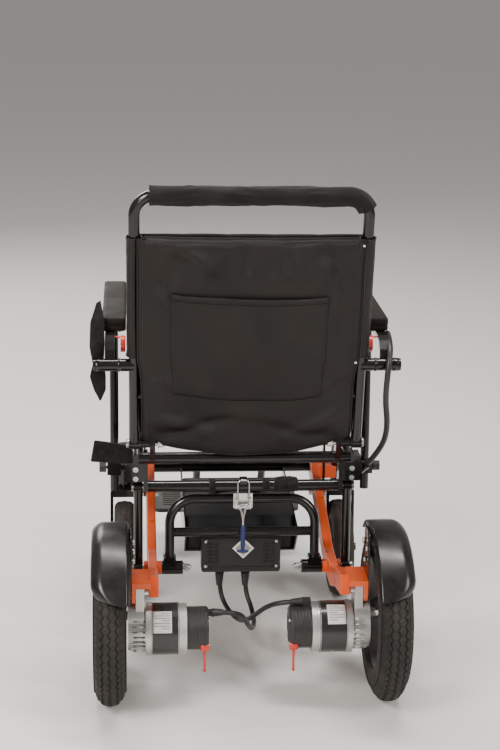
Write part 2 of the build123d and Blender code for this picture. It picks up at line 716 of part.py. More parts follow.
def post_clamp():
    """Open-fronted swivel clamp on the seat bracket that guides the post."""
    side = post_radius + 0.4
    inner_x, outer_x = post_x - side - 4, post_x + side + 5
    back = clamp_y - post_radius - clamp_play
    block = box(inner_x, outer_x, back - 4, clamp_y + 7, clamp_z - 13, clamp_z + 13)
    slot = box(post_x - side, post_x + side, back, clamp_y + 30, clamp_z - 20, clamp_z + 20)
    block = (block - slot).rotate(Axis((post_x, clamp_y, clamp_z), (1, 0, 0)),
                                  -math.degrees(post_tilt))
    pin = across(clamp_y, clamp_z, rail_x + 20, inner_x + 1, 5)
    block += pin
    return block - across(clamp_y, clamp_z, post_x + side - 1, outer_x + 5, 3 + run)


def clamp_knob():
    """Hand knob with its screw against the post."""
    x0 = post_x + post_radius + 0.4 + 5 + gap
    tip = post_x + post_radius + gap
    knob = across(clamp_y, clamp_z, x0 + 2, x0 + 15, knob_radius)
    for i in range(6):
        turn = math.radians(60 * i)
        y = clamp_y + (knob_radius + 1.5) * math.cos(turn)
        z = clamp_z + (knob_radius + 1.5) * math.sin(turn)
        knob -= across(y, z, x0 + 1, x0 + 16, 3)
    return knob + across(clamp_y, clamp_z, tip, x0 + 3, 3)


def lap_belt():
    """Lap belt that hangs beside the left armrest."""
    return profile([(rest_y + 62, 690), (rest_y + 74, 690), (rest_y + 26, 636), (rest_y + 22, 560),
                    (rest_y + 16, 522), (rest_y + 12, 560), (rest_y + 12, 636)],
                   -fender_outer_x, -pad_x - pad_width / 2 - gap)


# ---- joystick ------------------------------------------------------------
joystick_z = rest_bar_z + rest_bar_thick / 2 + gap
joystick_top = joystick_z + joystick_height
pad_front_y = pad_back_y + arm_pad_length


def joystick_housing():
    """Controller casing with a well for the stick and two button wells."""
    case = box(stick_x - 40, stick_x + 44, pad_front_y + 4, pad_front_y + 104, joystick_z,
               joystick_top)
    case = fillet(case.edges().filter_by(Axis.Z), 18)
    case = fillet(case.edges().group_by(Axis.Z)[-1], 6)
    case -= rod((stick_x, stick_y, joystick_top - 15), (stick_x, stick_y, joystick_top + 1), 19)
    for x in (stick_x - 15, stick_x + 15):
        case -= rod((x, stick_y + 45, joystick_top - 6), (x, stick_y + 45, joystick_top + 1),
                    6 + 0.2)
    case -= across(stick_y, joystick_top - 7, stick_x - 22, stick_x + 22, 1.6 + run)
    return case


def stick_ring():
    """Gimbal ring that lets the stick tip fore and aft."""
    ring = rod((stick_x, stick_y, joystick_top - 10), (stick_x, stick_y, joystick_top - 4), 15)
    ring -= rod((stick_x, stick_y, joystick_top - 11), (stick_x, stick_y, joystick_top - 3), 9)
    ring += across(stick_y, joystick_top - 7, stick_x + 14, stick_x + 21.5, 1.6)
    ring += across(stick_y, joystick_top - 7, stick_x - 21.5, stick_x - 14, 1.6)
    ring -= rod((stick_x, stick_y - 16, joystick_top - 7), (stick_x, stick_y + 16,
                                                            joystick_top - 7), 1.6 + run)
    return ring


def stick():
    """Joystick: pivot pin, shaft, gaiter and knob."""
    z = joystick_top
    part = rod((stick_x, stick_y, z - 9.5), (stick_x, stick_y, z + 30), 3.5)
    part += rod((stick_x, stick_y - 14.5, z - 7), (stick_x, stick_y + 14.5, z - 7), 1.6)
    gaiter = make_face(Polyline([(0, z + 6), (17, z + 6), (14, z + 10), (9, z + 18), (6, z + 26),
                                 (0, z + 26)], close=True))
    part += Pos(stick_x, stick_y, 0) * revolve(Plane.XZ * gaiter, Axis.Z, 360)
    knob = Pos(stick_x, stick_y, z + 40) * Sphere(13.5)
    return part + knob


def push_button(x):
    """Round push button in the controller's top."""
    return rod((x, stick_y + 45, joystick_top - 3.5), (x, stick_y + 45, joystick_top + 1.2), 6)


# ---- latch ---------------------------------------------------------------
latch_y, latch_z = low_cross_y - 5 - hoop_radius - 9, hoop_top_z - 9.0
bail_rise = link_z + 15 - latch_z


def latch_base():
    """Latch plate on the hoop, with two ears for the lever's pin."""
    y0 = low_cross_y - 5 - hoop_radius
    plate = box(-18, 18, y0 - 3, y0, hoop_top_z - 15, hoop_top_z + 14)
    ears = []
    for side in (-1, 1):
        ear = box(side * 12.2, side * 15, latch_y - 5, y0 - 2, latch_z - 6, latch_z + 14)
        ears.append(fillet(ear.edges().filter_by(Axis.X).sort_by(Axis.Y)[:2], 4))
    base = plate + ears[0] + ears[1]
    base -= across(latch_y, latch_z, -20, 20, 2.5 + run)
    return base


def latch_lever():
    """Fork-shaped latch lever with its pin."""
    pin = across(latch_y, latch_z, -16.5, 16.5, 2.5)
    hub = across(latch_y, latch_z, -8.5, 8.5, 5)
    fork = rod((-5, latch_y, latch_z - 3), (0, latch_y - 4, latch_z - 27), 2)
    fork += rod((5, latch_y, latch_z - 3), (0, latch_y - 4, latch_z - 27), 2)
    fork += rod((0, latch_y - 4, latch_z - 25), (0, latch_y - 5, latch_z - 36), 2.4)
    bail_pin = across(latch_y - 8, latch_z, -9, 9, 2)
    cheeks = [box(x, x + 2.5, latch_y - 9.5, latch_y, latch_z - 3, latch_z + 3)
              for x in (-8.5, 6)]
    return pin + hub + fork + bail_pin + cheeks[0] + cheeks[1]


def latch_grip():
    """Blue T-shaped grip on the latch lever."""
    y, z = latch_y - 5, latch_z - 36
    grip = rod((0, y, z), (0, y - 3, z - 52), 4.5)
    grip += across(y - 3, z - 52, -11, 11, 3.2)
    return grip


def latch_bail():
    """Wire loop that pulls on the catch of the seat's cross tube."""
    y0, z0 = latch_y - 8, latch_z
    y1 = link_y - 11 - 1.6 - 0.5
    points = [(-10.6, y0, z0), (-10.6, y1, z0 + bail_rise), (10.6, y1, z0 + bail_rise),
              (10.6, y0, z0)]
    loop = bent_rod(points, 1.4, 7)
    eyes = []
    for side in (-1, 1):
        eye = across(y0, z0, side * 9.2, side * 11.5, 3.6)
        eyes.append(eye)
    return loop + eyes[0] + eyes[1]


# ---- battery and controller -------------------------------------------------
battery_y0 = box_back_y + box_depth + 4
box_bottom = low_cross_z - hoop_radius - 0.5 - box_height
cable_exit_y = box_back_y + 18
cable_exit_left, cable_exit_right = -40.0, 10.0


def battery_tray():
    """Tray hung between the low cross tube and the front cross tube."""
    half = battery_half + gap + tray_thick
    y0, y1 = low_cross_y, front_cross_y
    tray = box(-half, half, battery_y0 - 4, battery_y0 + battery_length + 4, tray_z,
               tray_z + tray_thick)
    for side in (-1, 1):
        x0, x1 = sorted((side * half, side * (half - tray_thick)))
        tray += profile([(y0, low_cross_z + 6), (y1, on_arm(y1) + 4), (y1, on_arm(y1) - 14),
                         (battery_y0 + battery_length + 4, tray_z), (battery_y0 - 4, tray_z),
                         (y0, low_cross_z - 8)], x0, x1)
    tray -= rod((-200, y0, low_cross_z), (200, y0, low_cross_z), hoop_radius)
    tray -= rod((-200, y1, on_arm(y1)), (200, y1, on_arm(y1)), tube_radius)
    return tray


def battery_pack():
    """Lithium battery in the tray."""
    z0 = tray_z + tray_thick
    pack = box(-battery_half, battery_half, battery_y0, battery_y0 + battery_length, z0,
               z0 + battery_height)
    return fillet(pack.edges().filter_by(Axis.Z), 8)


def controller_box():
    """Motor controller, hung behind the battery."""
    z1 = low_cross_z - hoop_radius - 0.5
    case = box(-box_half, box_half, box_back_y, box_back_y + box_depth, z1 - box_height, z1)
    case = fillet(case.edges().filter_by(Axis.Y), 5)
    tabs = [box(x, x + 14, low_cross_y + hoop_radius, box_back_y + 8, z1 - 4, z1 + 6)
            for x in (-box_half + 12, box_half - 26)]
    case += tabs[0] + tabs[1]
    for x in (cable_exit_left, cable_exit_right):
        case += rod((x, cable_exit_y, box_bottom - 8), (x, cable_exit_y, box_bottom + 2), 7)
    return case


# ---- footplate ---------------------------------------------------------------
def footplate():
    """Flip-up footplate with its hinge pin."""
    z1 = foot_pivot_z - 14
    y0 = foot_pivot_y - 6
    plate = box(-plate_half, plate_half, y0, front_reach, z1 - plate_thick, z1)
    plate = fillet(plate.edges().filter_by(Axis.Z), 14)
    part = plate + across(foot_pivot_y, foot_pivot_z, -foot_x - 22, foot_x + 22, 4)
    for side in (-1, 1):
        x0, x1 = sorted((side * (foot_x + 8 + gap), side * (foot_x + 20)))
        part += box(x0, x1, foot_pivot_y - 6, foot_pivot_y + 9, z1 - 1, foot_pivot_z)
        part += across(foot_pivot_y, foot_pivot_z, x0, x1, 8)
    return part


# ---- cables -------------------------------------------------------------------
def cable(points, radius):
    """A round cable along its route; every corner is as round as its runs allow."""
    corners = [Vector(*p) for p in points]
    radii = []
    for a, b, c in zip(corners, corners[1:], corners[2:]):
        turn = math.radians((b - a).get_angle(c - b))
        run_length = min((b - a).length, (c - b).length)
        radii.append(0.45 * run_length / math.tan(turn / 2))
    print("bend radii", [round(r) for r in radii])
    edges = []
    start = corners[0]
    for i, bend in enumerate(radii):
        a, b, c = corners[i], corners[i + 1], corners[i + 2]
        before, after = (b - a).normalized(), (c - b).normalized()
        half = math.radians(before.get_angle(after)) / 2
        cut = bend * math.tan(half)
        enter, leave = b - before * cut, b + after * cut
        middle = b + (after - before).normalized() * (bend / math.cos(half) - bend)
        edges.append(Edge.make_line(start, enter))
        edges.append(Edge.make_three_point_arc(enter, middle, leave))
        start = leave
    edges.append(Edge.make_line(start, corners[-1]))
    path = Wire(edges)
    print("length", round(path.length))
    section = Plane(origin=path @ 0, z_dir=path % 0) * Circle(radius)
    tube_solid = sweep(section, path=path, transition=Transition.TRANSFORMED)
    print("volume ratio", round(tube_solid.volume / (math.pi * radius ** 2 * path.length), 3))
    return tube_solid


MOTOR_CABLE_RIGHT = [(-40, 231, 142.5), (-40, 231, 106), (-28, 205, 80), (-8, 152, 76),
                     (6, 104, 99), (18, 62, 130), (36, 30, 160), (62, 8, 177.5),
                     (96, 8, 177.5)]
MOTOR_CABLE_LEFT = [(10, 231, 142.5), (10, 231, 104), (22, 206, 78), (24, 156, 67),
                    (14, 106, 79), (4, 66, 108), (-8, 34, 140), (-30, 12, 157),
                    (-65, 12, 157)]
JOYSTICK_CABLE = [(262.5, 190, 631), (262.5, 152, 631), (262.5, 110, 616), (262, 94, 580),
                  (262, 98, 530), (270, 116, 474), (262, 140, 425), (232, 174, 382)]


def build():
    """Every node of the chair."""
    nodes = {
        "side_arms": both(side_arm()),
        "rear_hoop": hoop_frame(), "front_frame": front_frame() + battery_tray(),
        "chassis_bolts": chassis_bolts(),
        "battery_pack": battery_pack(), "controller_box": controller_box(),
        "gearboxes": group([both(gearbox()), both(motor_ring())]),
        "motor_cans": both(motor_can()),
        "brake_caps": brake_caps(),
        "fenders": both(fender()), "caster_housings": both(caster_housing()),
        "latch_base": latch_base(), "latch_lever": latch_lever(), "latch_grip": latch_grip(),
        "latch_bail": latch_bail(),
        "rear_links": both(rear_link()), "front_links": both(front_link()),
        "seat_frame": seat_frame(), "seat_bolts": seat_bolts(),
        "seat_cushion": seat_cushion(), "seat_strap": seat_strap(),
        "backrest_frame": backrest_frame(), "handle_sleeve": handle_sleeve(),
        "back_canvas": back_canvas(), "lap_belt": lap_belt(),
        "joystick_housing": joystick_housing(), "stick_ring": stick_ring(), "stick": stick(),
        "power_button": push_button(stick_x - 15), "horn_button": push_button(stick_x + 15),
        "footplate": footplate(),
        "motor_cable_right": cable(MOTOR_CABLE_RIGHT, cable_radius),
        "motor_cable_left": cable(MOTOR_CABLE_LEFT, cable_radius),
        "joystick_cable": cable(JOYSTICK_CABLE, joystick_cable_radius),
    }
    paired = {
        "wheel_tyre": wheel_tyre(), "wheel_rim": wheel_rim(), "caster_fork": caster_fork(),
        "caster_tyre": caster_tyre(), "caster_hub": caster_hub(), "brake_lever": brake_lever(),
        "rest_pin": rest_pin(), "arm_pad": arm_pad(), "arm_post": arm_post(),
        "post_clamp": post_clamp(), "clamp_knob": clamp_knob(), "rest_lock": rest_lock(),
    }
    for name, shape in paired.items():
        nodes[name + "_right"] = shape
        nodes[name + "_left"] = left(shape)
    nodes["arm_bar_right"] = arm_bar(pad_front_y + 60)
    nodes["arm_bar_left"] = left(arm_bar(pad_front_y - 15))
    return nodes


def main():
    """Write every node, with the origin in the middle of the footprint."""
    os.makedirs(out_dir, exist_ok=True)
    for name, shape in build().items():
        export_step(Pos(0, -middle_y, 0) * shape, os.path.join(out_dir, name + ".step"))


if __name__ == "__main__":
    main()
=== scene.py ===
"""Dresses the packed power wheelchair: finishes, soft goods, tyres, drive units and a studio."""
import bpy
import bmesh
import math
from mathutils import Matrix, Vector, noise


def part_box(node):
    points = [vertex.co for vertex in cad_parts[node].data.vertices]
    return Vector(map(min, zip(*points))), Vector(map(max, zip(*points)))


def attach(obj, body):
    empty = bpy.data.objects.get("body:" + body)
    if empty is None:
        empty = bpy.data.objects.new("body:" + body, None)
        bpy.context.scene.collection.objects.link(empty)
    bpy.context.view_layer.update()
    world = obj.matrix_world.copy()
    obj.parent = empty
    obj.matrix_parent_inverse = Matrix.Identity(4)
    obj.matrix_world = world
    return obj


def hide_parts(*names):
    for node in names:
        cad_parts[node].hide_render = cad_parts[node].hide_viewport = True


bl_info = {
    "name": "Power Wheelchair",
    "version": (1, 0, 0),
    "blender": (4, 5, 0),
    "location": "View3D > Sidebar > Wheelchair",
    "description": "Finishes and soft goods for a folding power wheelchair",
    "category": "Object",
}

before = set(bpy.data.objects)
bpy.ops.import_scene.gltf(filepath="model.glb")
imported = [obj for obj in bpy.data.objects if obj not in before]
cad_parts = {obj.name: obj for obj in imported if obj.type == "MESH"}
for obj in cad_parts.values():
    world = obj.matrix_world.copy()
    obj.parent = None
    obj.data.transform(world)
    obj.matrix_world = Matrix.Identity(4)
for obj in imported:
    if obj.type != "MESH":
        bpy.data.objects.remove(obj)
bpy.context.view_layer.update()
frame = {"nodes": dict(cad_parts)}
SIDES = (("right", 1), ("left", -1))

# Places taken from the packed model, in metres.
tyre_low, tyre_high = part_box("wheel_tyre_right")
AXLE_Y = (tyre_low.y + tyre_high.y) / 2
TYRE_RADIUS = (tyre_high.z - tyre_low.z) / 2
WHEEL_X = (tyre_low.x + tyre_high.x) / 2
TYRE_HALF = (tyre_high.x - tyre_low.x) / 2
HINGE_Y, HINGE_Z = 0.145, 0.435
RECLINE = math.radians(8.3)
POST_X = 0.204
REST_Y = HINGE_Y - 0.1566 * math.sin(RECLINE)
REST_Z = HINGE_Z + 0.1566 * math.cos(RECLINE)


# ---- properties ---------------------------------------------------------
def colour(name, description, default):
    return bpy.props.FloatVectorProperty(name=name, description=description, default=default,
                                         size=3, min=0.0, max=1.0, subtype="COLOR")


def length(name, description, default, low=0.0, high=1.0):
    return bpy.props.FloatProperty(name=name, description=description, default=default,
                                   min=low, max=high, unit="LENGTH", subtype="DISTANCE")


class ChairColours(bpy.types.PropertyGroup):
    frame: colour("Frame", "Gloss paint of the tubes", (0.004, 0.0036, 0.0034))
    arm: colour("Side arms", "Paint of the side arms", (0.76, 0.085, 0.010))
    canvas: colour("Canvas", "Coated cloth of the backrest", (0.0085, 0.0066, 0.0056))
    sleeve: colour("Sleeve", "Cloth of the push bar's sleeve", (0.0060, 0.0052, 0.0050))
    seat: colour("Seat", "Cover of the seat cushion", (0.0105, 0.0095, 0.0090))
    pad: colour("Arm pads", "Moulded foam of the arm pads", (0.0095, 0.0065, 0.0048))
    rubber: colour("Rubber", "Tyre rubber", (0.0125, 0.0112, 0.0100))
    casting: colour("Castings", "Bare cast aluminium", (0.56, 0.55, 0.53))
    motor: colour("Motor", "Painted motor body", (0.012, 0.012, 0.012))
    plated: colour("Plated parts", "Zinc-plated steel", (0.68, 0.67, 0.64))
    plastic: colour("Plastic", "Black moulded plastic", (0.016, 0.015, 0.015))
    lever: colour("Levers", "Red release levers and buttons", (0.62, 0.018, 0.014))
    grip: colour("Latch grip", "Blue latch grip", (0.018, 0.030, 0.115))
    label: colour("Labels", "Blank stickers", (0.78, 0.77, 0.74))
    floor: colour("Floor", "Studio floor", (0.80, 0.78, 0.75))


class ChairSizes(bpy.types.PropertyGroup):
    tread: length("Tread depth", "Depth of the drive tyre's grooves", 0.0038, 0.001, 0.008)
    sag: length("Canvas droop", "How far the canvas hangs below its corners", 0.030, 0.0, 0.06)
    stitch: length("Stitch pitch", "Distance from stitch to stitch", 0.0046, 0.002, 0.01)
    weave: length("Weave pitch", "Distance from thread to thread", 0.0011, 0.0005, 0.004)
    puff: length("Seat puff", "How far the cushion may swell", 0.009, 0.0, 0.02)


# ---- mesh helpers -------------------------------------------------------
def at(x, y, z):
    """A point measured from the rear axle along the chair and from the floor."""
    return Vector((x, AXLE_Y + y, z))


def on_post(x, along, behind=0.0):
    """A point of the backrest: across, up the post from its hinge, and behind it."""
    y = HINGE_Y - along * math.sin(RECLINE) - behind * math.cos(RECLINE)
    return at(x, y, HINGE_Z + along * math.cos(RECLINE) - behind * math.sin(RECLINE))


def piece(name, points, faces, finish, body, smooth=True, material_slot=None):
    """A mesh object that rides on a body."""
    mesh = bpy.data.meshes.new(name)
    mesh.from_pydata([tuple(p) for p in points], [], faces)
    mesh.validate()
    work = bmesh.new()
    work.from_mesh(mesh)
    bmesh.ops.remove_doubles(work, verts=work.verts, dist=0.00002)
    bmesh.ops.recalc_face_normals(work, faces=work.faces)
    work.to_mesh(mesh)
    work.free()
    for face in mesh.polygons:
        face.use_smooth = smooth
    made = bpy.data.objects.new(name, mesh)
    bpy.context.scene.collection.objects.link(made)
    made.data.materials.append(finish)
    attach(made, body)
    return made


def modify(made, kind, **settings):
    """Adds a modifier with its settings."""
    step = made.modifiers.new(kind.title(), kind)
    for key, value in settings.items():
        setattr(step, key, value)
    return step


def grid(columns, rows, place):
    """Points and faces of a sheet; place(i, j) gives each point."""
    points = [place(i, j) for j in range(rows + 1) for i in range(columns + 1)]
    faces = []
    for j in range(rows):
        for i in range(columns):
            a = j * (columns + 1) + i
            faces.append((a, a + 1, a + columns + 2, a + columns + 1))
    return points, faces


def loft(rings, capped=True):
    """Points and faces of a skin through closed rings."""
    n = len(rings[0])
    points = [p for ring in rings for p in ring]
    faces = []
    for j in range(len(rings) - 1):
        for i in range(n):
            k = (i + 1) % n
            faces.append((j * n + i, j * n + k, (j + 1) * n + k, (j + 1) * n + i))
    if capped:
        faces.append(tuple(range(n)))
        faces.append(tuple(range((len(rings) - 1) * n, len(rings) * n)))
    return points, faces


def turned(outline, centre, steps=96, reach=None, closed=True):
    """Points and faces of a body of revolution about X, from (radius, x) pairs."""
    n = len(outline)
    points, faces = [], []
    for s in range(steps):
        angle = 2 * math.pi * s / steps
        for r, x in outline:
            if reach:
                r = reach(r, x, angle)
            points.append(centre + Vector((x, r * math.cos(angle), r * math.sin(angle))))
    for s in range(steps):
        t = (s + 1) % steps
        for i in range(n if closed else n - 1):
            k = (i + 1) % n
            faces.append((s * n + i, s * n + k, t * n + k, t * n + i))
    return points, faces


def join(parts):
    """One set of points and faces from several."""
    points, faces = [], []
    for some_points, some_faces in parts:
        base = len(points)
        points += some_points
        faces += [tuple(base + i for i in face) for face in some_faces]
    return points, faces


def ring_about(centre, side, up, radius, steps=16):
    """A circle of points in the plane of two directions."""
    return [centre + radius * (side * math.cos(2 * math.pi * i / steps)
                               + up * math.sin(2 * math.pi * i / steps)) for i in range(steps)]


def hose(line, radius, steps=16):
    """Skin of a round bar along points; radius may be a function of the place along it."""
    rings = []
    up = Vector((0.02, 0.99, 0.11)).normalized()
    for i, p in enumerate(line):
        along = (line[min(i + 1, len(line) - 1)] - line[max(i - 1, 0)]).normalized()
        side = along.cross(up)
        if side.length < 0.05:
            side = along.cross(Vector((0, 0, 1)))
        side.normalize()
        lift = side.cross(along).normalized()
        r = radius(i / (len(line) - 1)) if callable(radius) else radius
        rings.append(ring_about(p, side, lift, r, steps))
    return loft(rings)


def block(low, high, edge=0.0015):
    """A block with chamfered edges, as points and faces."""
    work = bmesh.new()
    bmesh.ops.create_cube(work, size=1.0)
    size = [high[i] - low[i] for i in range(3)]
    middle = [(high[i] + low[i]) / 2 for i in range(3)]
    for v in work.verts:
        v.co = Vector([middle[i] + v.co[i] * size[i] for i in range(3)])
    if edge:
        bmesh.ops.bevel(work, geom=work.edges[:], offset=edge, segments=3, profile=0.5,
                        affect="EDGES")
    work.verts.ensure_lookup_table()
    points = [v.co.copy() for v in work.verts]
    faces = [tuple(v.index for v in f.verts) for f in work.faces]
    work.free()
    return points, faces


def sewn(line, pitch, out, proud=0.0004, thick=0.00042):
    """A row of thread stitches along a line, standing a little out of the cloth."""
    spans, parts = [], []
    for a, b in zip(line, line[1:]):
        spans.append((b - a).length)
    total = sum(spans)
    count = max(2, int(total / pitch))
    for k in range(count):
        ends = []
        for place in ((k + 0.14) * total / count, (k + 0.80) * total / count):
            i = 0
            while i < len(spans) - 1 and place > spans[i]:
                place -= spans[i]
                i += 1
            ends.append(line[i].lerp(line[i + 1], min(1, place / max(spans[i], 1e-9))))
        a, b = ends
        along = (b - a).normalized()
        side = along.cross(out).normalized()
        rings = []
        for f, r in ((0, 0.25), (0.15, 0.8), (0.5, 1.0), (0.85, 0.8), (1, 0.25)):
            mid = a.lerp(b, f) + out * proud * (0.3 + 0.7 * math.sin(math.pi * f))
            rings.append(ring_about(mid, side, out, thick * r, 6))
        parts.append(loft(rings))
    return join(parts)


# ---- finishes -----------------------------------------------------------
def finish(name, base, rough, metal=0.0, spread=0.08, tint=None, tint_scale=7.0, amount=0.5,
           grain="noise", grain_scale=600.0, height=0.0002, strength=0.35, dust=0.0, coat=0.0,
           coat_rough=0.08, sheen=0.0, specular=0.5, pitch=0.0011):
    """A node material: a mottled colour, uneven gloss, surface grain and dust on what faces up."""
    made = bpy.data.materials.new(name)
    made.use_nodes = True
    tree = made.node_tree
    links = tree.links
    shader = tree.nodes["Principled BSDF"]
    base = tuple(base) + (1.0,)
    tint = tuple(tint or (min(1, c * 1.5 + 0.004) for c in base[:3])) + (1.0,)
    shader.inputs["Metallic"].default_value = metal
    shader.inputs["Specular IOR Level"].default_value = specular
    shader.inputs["Coat Weight"].default_value = coat
    shader.inputs["Coat Roughness"].default_value = coat_rough
    shader.inputs["Sheen Weight"].default_value = sheen
    shader.inputs["Sheen Roughness"].default_value = 0.45
    place = tree.nodes.new("ShaderNodeTexCoord").outputs["Object"]

    def texture(kind, scale, **inputs):
        made_node = tree.nodes.new(kind)
        links.new(place, made_node.inputs["Vector"])
        made_node.inputs["Scale"].default_value = scale
        for key, value in inputs.items():
            made_node.inputs[key.replace("_", " ")].default_value = value
        return made_node

    def spread_over(source, low, high, out_low, out_high):
        node = tree.nodes.new("ShaderNodeMapRange")
        links.new(source, node.inputs["Value"])
        for key, value in (("From Min", low), ("From Max", high), ("To Min", out_low),
                           ("To Max", out_high)):
            node.inputs[key].default_value = value
        return node.outputs["Result"]

    def blend(factor, first, second):
        node = tree.nodes.new("ShaderNodeMix")
        node.data_type = "RGBA"
        links.new(factor, node.inputs["Factor"])
        slots = [s for s in node.inputs if s.type == "RGBA"]
        for socket, value in zip(slots, (first, second)):
            if isinstance(value, tuple):
                socket.default_value = value
            else:
                links.new(value, socket)
        return [s for s in node.outputs if s.type == "RGBA"][0]

    def combine(operation, first, second):
        node = tree.nodes.new("ShaderNodeMath")
        node.operation = operation
        for socket, value in zip(node.inputs, (first, second)):
            if isinstance(value, (int, float)):
                socket.default_value = value
            else:
                links.new(value, socket)
        return node.outputs["Value"]

    mottle = texture("ShaderNodeTexNoise", tint_scale, Detail=6.0, Roughness=0.62)
    shade = spread_over(mottle.outputs["Fac"], 0.38, 0.68, 0.0, amount)
    painted = blend(shade, base, tint)
    if dust:
        facing = tree.nodes.new("ShaderNodeSeparateXYZ")
        surface = tree.nodes.new("ShaderNodeNewGeometry")
        links.new(surface.outputs["Normal"], facing.inputs["Vector"])
        upward = spread_over(facing.outputs["Z"], 0.1, 1.0, 0.0, dust)
        specks = texture("ShaderNodeTexNoise", 55.0, Detail=8.0, Roughness=0.7)
        fleck = spread_over(specks.outputs["Fac"], 0.42, 0.66, 0.15, 1.0)
        painted = blend(combine("MULTIPLY", upward, fleck), painted, (0.20, 0.175, 0.15, 1.0))
    links.new(painted, shader.inputs["Base Color"])
    gloss = texture("ShaderNodeTexNoise", 28.0, Detail=5.0)
    links.new(spread_over(gloss.outputs["Fac"], 0.3, 0.7, max(0.02, rough - spread),
                          min(1.0, rough + spread)), shader.inputs["Roughness"])
    if grain == "weave":
        bands = math.pi / 4 / pitch
        warp = texture("ShaderNodeTexWave", bands, Distortion=0.5, Detail=1.0)
        weft = texture("ShaderNodeTexWave", bands, Distortion=0.5, Detail=1.0)
        warp.bands_direction = "X"
        weft.bands_direction = "Z"
        rise = combine("MAXIMUM", warp.outputs["Fac"], weft.outputs["Fac"])
    elif grain == "pebble":
        cells = texture("ShaderNodeTexVoronoi", grain_scale)
        rise = spread_over(cells.outputs["Distance"], 0.0, 0.7, 1.0, 0.0)
    elif grain == "brushed":
        stretch = tree.nodes.new("ShaderNodeMapping")
        stretch.inputs["Scale"].default_value = (1.0, 0.06, 1.0)
        links.new(place, stretch.inputs["Vector"])
        lines = texture("ShaderNodeTexNoise", grain_scale, Detail=3.0)
        links.new(stretch.outputs["Vector"], lines.inputs["Vector"])
        rise = lines.outputs["Fac"]
    else:
        rise = texture("ShaderNodeTexNoise", grain_scale, Detail=4.0).outputs["Fac"]
    bump = tree.nodes.new("ShaderNodeBump")
    bump.inputs["Strength"].default_value = strength
    bump.inputs["Distance"].default_value = height
    links.new(rise, bump.inputs["Height"])
    links.new(bump.outputs["Normal"], shader.inputs["Normal"])
    return made


